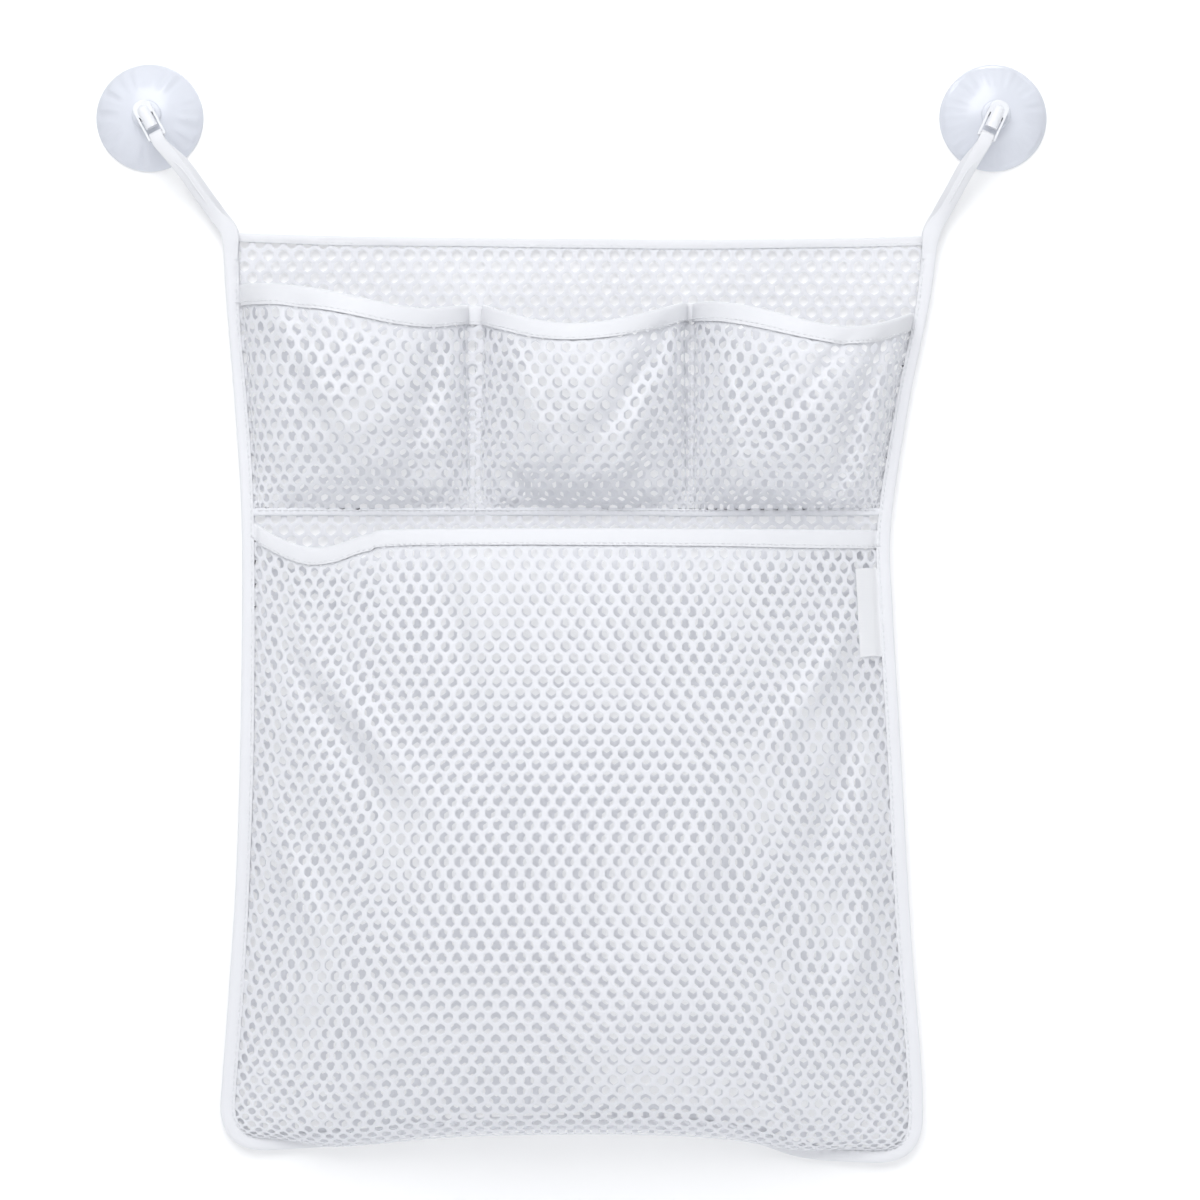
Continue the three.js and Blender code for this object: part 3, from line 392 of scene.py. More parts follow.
class SmallPocketCloth:
    """The strip of net that makes the small pockets, in cloth lengths across and down."""

    CREASES = (
        ((0.12, 0.05), (0.55, 0.75), 0.06, 0.0036), ((0.9, 0.1), (0.7, 0.9), 0.06, -0.0048),
        ((0.3, 0.0), (0.22, 0.7), 0.05, -0.003), ((2.12, 0.1), (2.4, 0.8), 0.06, 0.0034),
        ((2.97, 0.0), (2.46, 0.72), 0.07, -0.0072), ((2.8, 0.35), (2.62, 0.98), 0.06, 0.004),
        ((4.1, 0.12), (4.26, 0.92), 0.05, 0.003), ((4.9, 0.0), (4.7, 1.0), 0.05, -0.0066),
        ((4.72, 0.0), (4.45, 0.5), 0.04, -0.0036), ((4.97, 0.45), (4.84, 0.98), 0.035, 0.003),
        ((4.86, 0.78), (4.72, 0.98), 0.03, 0.0034), ((2.12, 0.75), (2.3, 0.98), 0.04, -0.0032),
    )
    STEPS = 200

    def __init__(self, creases):
        self.creases = creases
        self.s_knots, self.q_knots = [0.0], [-1.0]
        margin = POCKET_INSET - SEAM_INSET
        self.grow(margin, 0.0)
        share = np.linspace(0, 1, 80)
        for pocket in range(3):
            x, y, _ = self.raw(2 * pocket + share, np.full(len(share), STRIP_PEAK_SHARE)).T
            reach = lengths_along(together(x, y))
            self.s_knots += list(self.s_knots[-1] + reach[1:])
            self.q_knots += list(2 * pocket + share[1:])
            self.grow(DIVIDER_FLOORS[pocket] if pocket < 2 else margin, 2 * pocket + 2.0)
        self.width = self.s_knots[-1]
        self.shares = np.linspace(0, 1, self.STEPS)
        self.t_knots = lengths_along(self.raw(np.full(self.STEPS, 2.5), self.shares))
        self.height = self.t_knots[-1]

    def grow(self, length, q):
        self.s_knots.append(self.s_knots[-1] + length)
        self.q_knots.append(q)

    @staticmethod
    def pocket_of(q):
        """Which pocket a place belongs to, and its share of the way across that pocket."""
        pocket = np.clip(np.floor(np.clip(q, 0, 4.999) / 2), 0, 2).astype(int)
        return pocket, np.clip(q - 2 * pocket, 0, 1)

    def mouth(self, q):
        pocket, share = self.pocket_of(q)
        straight = mix(np.take(STRIP_MOUTHS, pocket), np.take(STRIP_MOUTHS, pocket + 1), share)
        return straight - np.take(STRIP_SAGS, pocket) * np.sin(np.pi * share ** np.take(STRIP_SKEWS, pocket))

    def raw(self, q, down):
        """The plain form: q counts margin, pocket, divider, pocket, divider, pocket, margin from -1."""
        q = np.asarray(q, float)
        pocket, share = self.pocket_of(q)
        top = self.mouth(q)
        z = top - down * (top - STRIP_BOTTOM_Z)
        floors = np.array((*DIVIDER_FLOORS, 0.0))[:, None] * mix(1, 0.5, down)
        left, right = edge.sides(z, POCKET_INSET)
        start = np.choose(pocket, [left, *(wall + floor / 2 for wall, floor in zip(DIVIDERS, floors))])
        end = np.choose(pocket, [*(wall - floor / 2 for wall, floor in zip(DIVIDERS, floors)), right])
        x = mix(start, end, share)
        over = np.clip(q - 2 * pocket - 1, 0, 1)
        x = x + over * np.choose(pocket, floors)
        outer_left, outer_right = edge.sides(z, SEAM_INSET)
        x = np.where(q < 0, mix(outer_left, left, np.clip(q + 1, 0, 1)), x)
        x = np.where(q > 5, mix(right, outer_right, np.clip(q - 5, 0, 1)), x)
        hem = STRIP_HEM / (top - STRIP_BOTTOM_Z)
        within = np.clip(down / (1 - hem), 0, 1)
        full = belly(within, STRIP_MOUTH_SHARE, STRIP_PEAK_SHARE, np.take(STRIP_FULLNESS, pocket))
        stand = np.take(STRIP_DEPTHS, pocket) * np.sin(np.pi * share) ** STRIP_SIDE_SHARE * full
        return together(x, POCKET_SEAM_Y - stand, z)

    def point(self, s, t):
        q = np.interp(s, self.s_knots, self.q_knots)
        down = np.interp(t, self.t_knots, self.shares)
        places = self.raw(q, down)
        within = (q + 1) % 2
        inner = smooth(0.02, 0.14, within - 1) * smooth(0.02, 0.14, 2 - within)
        inner = inner * smooth(0.0, 0.1, down) * smooth(1.0, 0.9, down)
        relief = creased(self.CREASES, q, down)
        relief = relief + 0.0008 * np.sin(9.0 * q + 14 * down) * np.sin(23 * down + 3 * q)
        places[:, 1] -= np.clip(relief, -0.008, 0.006) * inner * self.creases
        return places


class BigPocketCloth:
    """The net of the big pocket, in cloth lengths across and down."""

    CREASES = (
        ((0.03, 0.08), (0.31, 0.46), 0.026, 0.0068), ((0.02, 0.05), (0.24, 0.46), 0.026, -0.006),
        ((0.97, 0.1), (0.8, 0.34), 0.024, 0.0064), ((0.985, 0.2), (0.84, 0.55), 0.026, -0.0056),
        ((0.02, 0.4), (0.15, 0.66), 0.026, 0.0044), ((0.98, 0.5), (0.86, 0.8), 0.028, 0.0046),
        ((0.3, 0.02), (0.36, 0.28), 0.024, -0.0036), ((0.62, 0.02), (0.57, 0.22), 0.028, 0.0028),
        ((0.1, 0.97), (0.27, 0.8), 0.022, 0.0048), ((0.05, 0.86), (0.2, 0.7), 0.024, -0.004),
        ((0.9, 0.97), (0.74, 0.82), 0.022, 0.0048), ((0.42, 0.98), (0.45, 0.84), 0.022, 0.0034),
        ((0.6, 0.98), (0.58, 0.85), 0.02, -0.003), ((0.7, 0.99), (0.69, 0.88), 0.018, 0.003),
        ((0.36, 0.3), (0.44, 0.62), 0.03, -0.003), ((0.72, 0.4), (0.64, 0.68), 0.03, 0.0032),
    )
    STEPS = 300
    # The panel's usual size between its seams, which turns the margin into shares
    SEAM_HEIGHT = 0.305
    SEAM_WIDTH = 0.335

    def __init__(self, creases):
        self.creases = creases
        self.dips = even_spline(POCKET_DIPS)
        self.shares = np.linspace(0, 1, self.STEPS)
        self.s_knots = lengths_along(self.raw(self.shares, np.full(self.STEPS, POCKET_PEAK_SHARE)))
        self.t_knots = lengths_along(self.raw(np.full(self.STEPS, 0.5), self.shares))
        self.width, self.height = self.s_knots[-1], self.t_knots[-1]

    def mouth_z(self, across):
        dip = np.interp(across, self.dips[:, 0], np.maximum(0, self.dips[:, 1]))
        ease = 1 - (1 - np.clip(across / POCKET_SLOPE_SHARE, 0, 1)) ** 2
        return mix(POCKET_LEFT_Z, POCKET_RIGHT_Z, ease) - POCKET_DIP * dip

    def border(self, side, share, distance=SEAM_INSET):
        """X and Z along one border of the pocket's panel."""
        if side == "top":
            start, end = (self.border(way, 0.0, distance)[0] for way in ("left", "right"))
            return together(mix(start[0], end[0], share), self.mouth_z(share))
        ends = {
            "left": (edge.along_at("left", POCKET_LEFT_Z), edge.left_turn),
            "right": (edge.along_at("right", POCKET_RIGHT_Z), edge.right_turn),
            "bottom": (edge.left_turn, edge.right_turn),
        }[side]
        return together(*edge.inside(mix(*ends, np.atleast_1d(share)), distance))

    def raw(self, across, down):
        """The plain form, spread between the four borders, which hangs over the tape at the bottom."""
        margin = POCKET_INSET - SEAM_INSET
        seam = 1 - margin / self.SEAM_HEIGHT
        turn = np.clip((down - POCKET_PEAK_SHARE) / (seam - POCKET_PEAK_SHARE), 0, 1)
        hang = smooth(0.05, 0.17, across) * smooth(0.9, 0.74, across)
        bend = mix(turn, np.sin(np.pi / 2 * turn), POCKET_ROUND * mix(0.4, 1, hang))
        low = POCKET_PEAK_SHARE + (seam - POCKET_PEAK_SHARE) * bend
        placed = np.where((down > POCKET_PEAK_SHARE) & (down < seam), low, down)
        a, d = across[:, None], placed[:, None]
        corners = [self.border(side, end)[0] for end in (0.0, 1.0) for side in ("left", "right")]
        flat = self.border("top", across) * (1 - d) + self.border("bottom", across) * d
        flat = flat + self.border("left", down) * (1 - a) + self.border("right", down) * a
        flat = flat - corners[0] * (1 - a) * (1 - d) - corners[1] * a * (1 - d)
        flat = flat - corners[2] * (1 - a) * d - corners[3] * a * d
        within = np.clip((across * self.SEAM_WIDTH - margin) / (self.SEAM_WIDTH - 2 * margin), 0, 1)
        lower = np.clip(down / seam, 0, 1)
        stand = POCKET_DEPTH * np.sin(np.pi * within) ** POCKET_SIDE_SHARE
        stand = stand * belly(lower, POCKET_MOUTH_SHARE, POCKET_PEAK_SHARE, POCKET_FULLNESS)
        sag = POCKET_SAG * hang * smooth(0.45, 0.93, turn) * smooth(1.0, 0.985, turn)
        return together(flat[:, 0], POCKET_SEAM_Y - stand, flat[:, 1] - sag)

    def point(self, s, t):
        across = np.interp(s, self.s_knots, self.shares)
        down = np.interp(t, self.t_knots, self.shares)
        places = self.raw(across, down)
        inner = smooth(0.02, 0.1, across) * smooth(0.98, 0.9, across)
        inner = inner * smooth(0.0, 0.07, down) * smooth(0.985, 0.93, down)
        relief = creased(self.CREASES, across, down)
        relief = relief + 0.0012 * np.sin(11 * across + 4 * down) * np.sin(9 * down - 5 * across)
        places[:, 1] -= np.clip(relief, -0.008, 0.008) * inner * self.creases
        return places


class BackCloth:
    """The net behind, which hangs flat with a few shallow waves."""

    def __init__(self, creases):
        self.creases = creases
        self.left = edge.points[:, 0].min()
        self.width = np.ptp(edge.points[:, 0])
        self.height = BAG_HEIGHT * 1.002 + TOP_RISE

    def flat(self, s, t):
        return self.left + s, BAG_TOP_Z + TOP_RISE - t

    def holds(self, s, t):
        """Whether a hole lies far enough inside the bag's edge."""
        x, z = self.flat(s, t)
        deep, _ = edge.depth_of(x.ravel(), z.ravel())
        return (deep.reshape(x.shape) > 0.001) & (z < top_z(x) - 0.002)

    def point(self, s, t):
        x, z = self.flat(s, t)
        z = np.minimum(z, top_z(x) - 0.0016)
        deep, near = edge.depth_of(x, z)
        short = np.clip(SEAM_INSET + 0.0004 - deep, 0, None)[:, None]
        x, z = (together(x, z) + edge.inward[near] * short).T
        inner = smooth(0.006, 0.05, deep) * smooth(0.008, 0.05, top_z(x) - z)
        wave = 0.5 + 0.5 * np.sin(21 * x + 9 * z) * np.sin(17 * z - 6 * x)
        y = PANEL_Y - 0.0022 * wave * inner * self.creases
        return together(x, y, z)


def new_piece(name, points, faces, maps=None, flat_above=None):
    """A mesh object from points and faces, with optional face-corner maps."""
    mesh = bpy.data.meshes.new(name)
    mesh.from_pydata([tuple(p) for p in np.asarray(points).tolist()], [], faces)
    mesh.update()
    for map_name, values in (maps or {}).items():
        layer = mesh.uv_layers.new(name=map_name)
        layer.data.foreach_set("uv", np.asarray(values, np.float32).ravel())
    mesh.shade_smooth()
    if flat_above is not None:
        mesh.set_sharp_from_angle(angle=math.radians(flat_above))
    piece = bpy.data.objects.new(name, mesh)
    bpy.context.scene.collection.objects.link(piece)
    return piece


def surface_frames(cloth, s, t, step=0.0006):
    """Points of a cloth and the directions out of it and up along it."""
    right, left = (cloth.point(np.clip(s + way, 0, cloth.width), t) for way in (step, -step))
    below, above = (cloth.point(s, np.clip(t + way, 0, cloth.height)) for way in (step, -step))
    return cloth.point(s, t), unit(np.cross(below - above, right - left)), unit(above - below)


# Half the knots round a hole, in quarter pitches across and quarter rows up, and half its own corners
HALF_KNOTS = ((0, 3), (1, 2), (2, 1), (2, 0), (2, -1), (1, -2))
HALF_HOLE = ((0, 0.482), (0.166, 0.362), (0.296, 0.216), (0.31, 0), (0.296, -0.216), (0.166, -0.362))
KNOT_RING, HOLE_RING = (np.vstack([half, np.negative(half)]) for half in (HALF_KNOTS, HALF_HOLE))
# How far down a row each of its four levels of knots lies
LEVEL_HEIGHTS = (0.0, 0.34, 0.5, 0.66)


def hole_centres(cloth, pitch, row, keep):
    """The holes that fit on a cloth: quarter pitches across, rows down, and their lengths both ways."""
    rows, columns = np.arange(int(cloth.height / row) + 2), np.arange(int(cloth.width / pitch) + 2)
    rank, column = np.meshgrid(rows, columns, indexing="ij")
    quarter = 4 * column + 2 * (rank % 2)
    s, t = quarter * pitch / 4, rank * row
    fits = (s > -0.2 * pitch) & (s < cloth.width + 0.2 * pitch)
    fits &= (t > -0.2 * row) & (t < cloth.height + 0.2 * row)
    if keep is not None:
        fits &= keep(s, t)
    return quarter[fits], rank[fits], s[fits], t[fits]


def net_knots(quarter, rank, pitch, row):
    """Where the strands meet: places, the twelve knots round each hole, and which lie on the net's rim."""
    across = quarter[:, None] + KNOT_RING[:, 0]
    level = 4 * rank[:, None] - KNOT_RING[:, 1]
    _, first, ring, uses = np.unique(
        (level + 8) * 100000 + (across + 8), return_index=True, return_inverse=True, return_counts=True
    )
    level = level.ravel()[first]
    s = across.ravel()[first] * pitch / 4
    t = (level // 4 + np.array(LEVEL_HEIGHTS)[level % 4]) * row
    return s, t, ring.reshape(-1, 12), uses < np.where(first % 2 == 1, 2, 3)


def knitted_net(name, cloth, settings, keep=None):
    """A net with open holes: each strand is a ridge in front and behind, joined round the holes."""
    pitch, row = settings.hole_pitch, settings.row_pitch
    quarter, rank, centre_s, centre_t = hole_centres(cloth, pitch, row, keep)
    knot_s, knot_t, ring, rim = net_knots(quarter, rank, pitch, row)
    knots, cells = len(knot_s), len(ring)
    rng = np.random.default_rng(SEED)
    drift = rng.normal(0, 0.00012, (knots, 2))
    size = 1 + rng.normal(0, 0.035, (cells, 1))
    corner_s, corner_t = HOLE_RING.T
    hole_s = centre_s[:, None] + size * corner_s * pitch
    hole_t = centre_t[:, None] - size * corner_t * row
    hole_s = hole_s + rng.normal(0, 0.00006, hole_s.shape)
    hole_t = hole_t + rng.normal(0, 0.00006, hole_t.shape)
    s = np.clip(np.concatenate([knot_s + drift[:, 0], hole_s.ravel()]), 0, cloth.width)
    t = np.clip(np.concatenate([knot_t + drift[:, 1], hole_t.ravel()]), 0, cloth.height)
    middle, outward, _ = surface_frames(cloth, s, t, 0.0004)
    raised = outward[:knots] * (settings.strand_depth / 2) * np.where(rim, 0, 1)[:, None]
    points = np.concatenate([middle[:knots] + raised, middle[:knots] - raised, middle[knots:]])

    after = np.roll(np.arange(12), -1)
    holes = 2 * knots + 12 * np.arange(cells)[:, None] + np.arange(12)
    behind = (np.arange(knots) + np.where(rim, 0, knots))[ring]
    front = np.stack([ring, ring[:, after], holes[:, after], holes], axis=2)
    back = np.stack([behind[:, after], behind, holes, holes[:, after]], axis=2)
    faces = np.concatenate([front.reshape(-1, 4), back.reshape(-1, 4)])
    used, faces = np.unique(faces, return_inverse=True)
    corners = faces.ravel()
    faces = faces.reshape(-1, 4)
    share_s, share_t = (
        (np.concatenate([values[:knots], values])[used] / reach)[corners]
        for values, reach in ((s, cloth.width), (t, cloth.height))
    )
    is_back = np.repeat(np.arange(len(faces)) >= len(faces) // 2, 4)
    maps = {
        "yarn": together(share_s * cloth.width, share_t * cloth.height),
        "OFBake": together(0.005 + 0.485 * share_s + 0.5 * is_back, 0.995 - 0.99 * share_t),
    }
    return new_piece(name, points[used], faces.tolist(), maps, flat_above=75)


def turn_out(piece):
    """Turns all faces of a closed piece outwards."""
    mesh = piece.data
    mesh.calc_loop_triangles()
    triangles = np.array([triangle.vertices[:] for triangle in mesh.loop_triangles])
    points = np.empty(len(mesh.vertices) * 3)
    mesh.vertices.foreach_get("co", points)
    a, b, c = (points.reshape(-1, 3)[triangles[:, k]] for k in range(3))
    if (a * np.cross(b, c)).sum() < 0:
        mesh.flip_normals()
    return piece


def tube_faces(rings, around, start=0):
    """The faces between neighbouring rings of points."""
    faces = []
    for here in range(start, start + (rings - 1) * around, around):
        there = here + around
        for a in range(around):
            b = (a + 1) % around
            faces.append((here + a, here + b, there + b, there + a))
    return faces


def end_faces(rings, around, start=0):
    """The two faces that close the ends of a tube."""
    last = start + (rings - 1) * around
    return [tuple(range(start + around - 1, start - 1, -1)), tuple(range(last, last + around))]


def ribbon(name, rows):
    """A long closed piece from the rows of points that run along it, in order round its section."""
    sections = np.stack(rows, axis=1)
    count, around = sections.shape[:2]
    faces = tube_faces(count, around) + end_faces(count, around)
    reach = lengths_along(sections.mean(axis=1))
    girth = np.cumsum(np.linalg.norm(sections - np.roll(sections, 1, axis=1), axis=2).mean(axis=0))
    weave = [(reach[corner // around], girth[corner % around]) for face in faces for corner in face]
    return turn_out(new_piece(name, sections.reshape(-1, 3), faces, {"weave": weave}, flat_above=70))


def wandering(count, step, reach, seed):
    """A smooth random value for each of count steps."""
    rng = np.random.default_rng(seed)
    knots = max(4, int(count * step / reach) + 3)
    values = rng.normal(0, 1, knots)
    place = np.linspace(0, knots - 3, count)
    base = np.floor(place).astype(int)
    return mix(values[base], values[base + 1], smooth(0, 1, place - base))


# Along one stitch: the share of its length, the rise over the cloth and the share of the thread's radius
STITCH_FORM = (
    (0.0, -0.0003, 0.75), (0.18, 0.00008, 1.0), (0.5, 0.0002, 1.0), (0.82, 0.00008, 1.0),
    (1.0, -0.0003, 0.75),
)


def thread_run(points, outward, pitch):
    """Corners and faces of a row of stitches along a line."""
    outward = np.broadcast_to(outward, points.shape)
    reach = lengths_along(points)
    count = max(1, int(reach[-1] / pitch))
    shares, rises, thick = np.array(STITCH_FORM).T
    rings = len(STITCH_FORM)
    angles = np.linspace(0, 2 * np.pi, THREAD_SIDES, endpoint=False)[:, None]
    corners, faces = [], []
    for k in range(count):
        start = (k + 0.5 - STITCH_SHARE / 2) * reach[-1] / count
        wanted = start + shares * STITCH_SHARE * reach[-1] / count
        out = unit(at_lengths(outward, reach, wanted))
        line = at_lengths(points, reach, wanted) + out * rises[:, None]
        way = unit(np.gradient(line, axis=0))
        side = unit(np.cross(way, out))
        up = np.cross(side, way)
        turned = np.cos(angles) * side[:, None] + np.sin(angles) * up[:, None]
        ring = line[:, None] + (thick * THREAD_RADIUS)[:, None, None] * turned
        corners.append(ring.reshape(-1, 3))
        tube = rings, THREAD_SIDES, k * rings * THREAD_SIDES
        faces += tube_faces(*tube) + end_faces(*tube)
    return np.vstack(corners), faces


def seam(x, z, front, back, pitch):
    """Rows of stitches on both faces of a seam, whose Y in front and behind is given."""
    return [thread_run(together(x, y, z), way, pitch) for y, way in ((front, TO_ROOM), (back, -TO_ROOM))]


def thread_piece(name, runs):
    """One piece made of several rows of stitches."""
    faces, total = [], 0
    for corners, run_faces in runs:
        faces += [tuple(i + total for i in face) for face in run_faces]
        total += len(corners)
    return turn_out(new_piece(name, np.vstack([corners for corners, _ in runs]), faces))


class Nodes:
    """The nodes of a material or of the surroundings."""

    def __init__(self, tree):
        self.nodes, self.links = tree.nodes, tree.links
        self.nodes.clear()

    def add(self, kind, inputs=None, **settings):
        """A node with the values or links of its sockets, and its settings."""
        node = self.nodes.new(kind)
        for name, value in settings.items():
            setattr(node, name, value)
        for name, value in (inputs or {}).items():
            self.plug(node.inputs[name], value)
        return node

    def value(self, kind, output, inputs=None, **settings):
        """One output of a new node, ready for maths."""
        return Value(self, self.add(kind, inputs, **settings).outputs[output])

    def plug(self, socket, value):
        if isinstance(value, Value):
            value = value.socket
        if isinstance(value, bpy.types.NodeSocket):
            self.links.new(value, socket)
        elif socket.type == "RGBA" and len(value) == 3:
            socket.default_value = (*value, 1.0)
        else:
            socket.default_value = value

    def between(self, share, first, second):
        """A shader between two others."""
        return self.add("ShaderNodeMixShader", {0: share, 1: first.outputs[0], 2: second.outputs[0]})

    def show(self, output, shader):
        self.add(output, {"Surface": shader.outputs[0]})


class Value:
    """A shader value that takes Python's own signs."""

    def __init__(self, owner, socket):
        self.owner = owner
        self.socket = socket

    def combined(self, operation, *terms, clamp=False):
        return self.owner.value(
            "ShaderNodeMath", 0, dict(enumerate(terms)), operation=operation, use_clamp=clamp
        )

    def __add__(self, other):
        return self.combined("ADD", self, other)

    def __mul__(self, other):
        return self.combined("MULTIPLY", self, other)

    def __rsub__(self, other):
        return self.combined("SUBTRACT", other, self)

    __radd__ = __add__
    __rmul__ = __mul__


class Finish(Nodes):
    """A material and the nodes that give it its look."""

    def __init__(self, name, shader=None):
        self.material = bpy.data.materials.new(name)
        self.material.use_nodes = True
        super().__init__(self.material.node_tree)
        if shader:
            self.shader = self.add("ShaderNodeBsdfPrincipled", shader)
            self.show("ShaderNodeOutputMaterial", self.shader)
            self.place = self.add("ShaderNodeTexCoord").outputs["Object"]

    def drive(self, name, value):
        self.plug(self.shader.inputs[name], value)

    def noise(self, scale, detail):
        return self.value("ShaderNodeTexNoise", 0, {"Vector": self.place, "Scale": scale, "Detail": detail})

    def wave(self, scale, direction, map_name=None, distortion=0.0):
        """Even bands, across the object or across one of its maps."""
        place = self.add("ShaderNodeUVMap", uv_map=map_name).outputs["UV"] if map_name else self.place
        return self.value(
            "ShaderNodeTexWave", "Fac",
            {"Vector": place, "Scale": scale, "Distortion": distortion, "Detail": 1.0},
            wave_type="BANDS", bands_direction=direction, wave_profile="SIN",
        )

    def tint(self, factor, colour, dark, light):
        """Base colour between a darker and a lighter shade of one colour."""
        node = self.add(
            "ShaderNodeMix", {0: factor, 6: shade(colour, dark), 7: shade(colour, light)}, data_type="RGBA"
        )
        self.drive("Base Color", node.outputs[2])

    def bump(self, height, strength, distance):
        node = self.add("ShaderNodeBump", {"Height": height, "Strength": strength, "Distance": distance})
        self.drive("Normal", node.outputs["Normal"])


def shade(colour, share):
    return tuple(min(1.0, channel * share) for channel in colour)


def net_finish(settings):
    finish = Finish("net_yarn", {"Roughness": 0.78, "Specular IOR Level": 0.35, "Sheen Weight": 0.25})
    tone, fibre = finish.noise(26, 3), finish.noise(1500, 2)
    loops = finish.wave(900, "DIAGONAL", "yarn", 1.2)
    finish.tint(tone * 0.75 + fibre * 0.25, settings.colour, 0.955, 1.02)
    finish.drive("Roughness", 0.72 + fibre * 0.12)
    finish.bump(fibre * 0.5 + loops * 0.5, 0.35, 0.00012)
    return finish.material


def tape_finish(settings):
    finish = Finish("woven_tape", {"Roughness": 0.6, "Specular IOR Level": 0.4, "Sheen Weight": 0.2})
    tone, fibre = finish.noise(35, 3), finish.noise(1900, 2)
    weft, warp = finish.wave(700, "X", "weave"), finish.wave(560, "Y", "weave")
    # Random tone and fibre noise, plus painted shade: the weft bands that raise the bump below also darken
    # the colour in the weave's valleys
    finish.tint(tone * 0.7 + weft * 0.15 + fibre * 0.15, settings.colour, 0.96, 1.015)
    finish.drive("Roughness", 0.55 + fibre * 0.15)
    finish.bump(weft * 0.5 + warp * 0.25 + fibre * 0.25, 0.35, 0.0001)
    return finish.material


def thread_finish(settings):
    finish = Finish("sewing_thread", {"Roughness": 0.5, "Specular IOR Level": 0.45})
    strand = finish.noise(2600, 2)
    finish.tint(strand, settings.colour, 0.93, 1.03)
    finish.bump(strand, 0.4, 0.00005)
    return finish.material


def label_finish(settings):
    finish = Finish("satin_label", {"Roughness": 0.38, "Specular IOR Level": 0.5, "Sheen Weight": 0.1})
    tone, ribs = finish.noise(60, 2), finish.wave(420, "Z")
    # Random tone, plus painted shade: the ribs that raise the bump below also darken the colour between them
    finish.tint(tone * 0.6 + ribs * 0.4, settings.label_colour, 0.975, 1.01)
    finish.drive("Roughness", 0.34 + tone * 0.1)
    finish.bump(ribs, 0.25, 0.00006)
    return finish.material


def hook_finish(settings):
    finish = Finish("moulded_hook", {
        "Roughness": 0.3, "IOR": 1.49, "Subsurface Weight": 0.15, "Subsurface Radius": (0.002, 0.002, 0.002),
    })
    tone, skin = finish.noise(120, 3), finish.noise(900, 2)
    finish.tint(tone, settings.hook_colour, 0.97, 1.01)
    finish.drive("Roughness", 0.26 + skin * 0.12)
    finish.bump(skin, 0.15, 0.00005)
    return finish.material


def cup_finish(settings):
    finish = Finish("milky_vinyl", {"Roughness": 0.25, "IOR": 1.5, "Sheen Weight": 0.15})
    cloud, skin = finish.noise(55, 3), finish.noise(380, 2)
    finish.tint(cloud, settings.cup_colour, 0.95, 1.04)
    finish.drive("Roughness", 0.22 + cloud * 0.06)
    finish.bump(cloud * 0.8 + skin * 0.2, 0.1, 0.0004)
    return finish.material


def dressed(piece, material, body, node=None):
    """Gives a piece its material and body, and hides the CAD node that it stands for."""
    piece.data.materials.clear()
    piece.data.materials.append(material)
    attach(piece, body)
    if node:
        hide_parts(node)


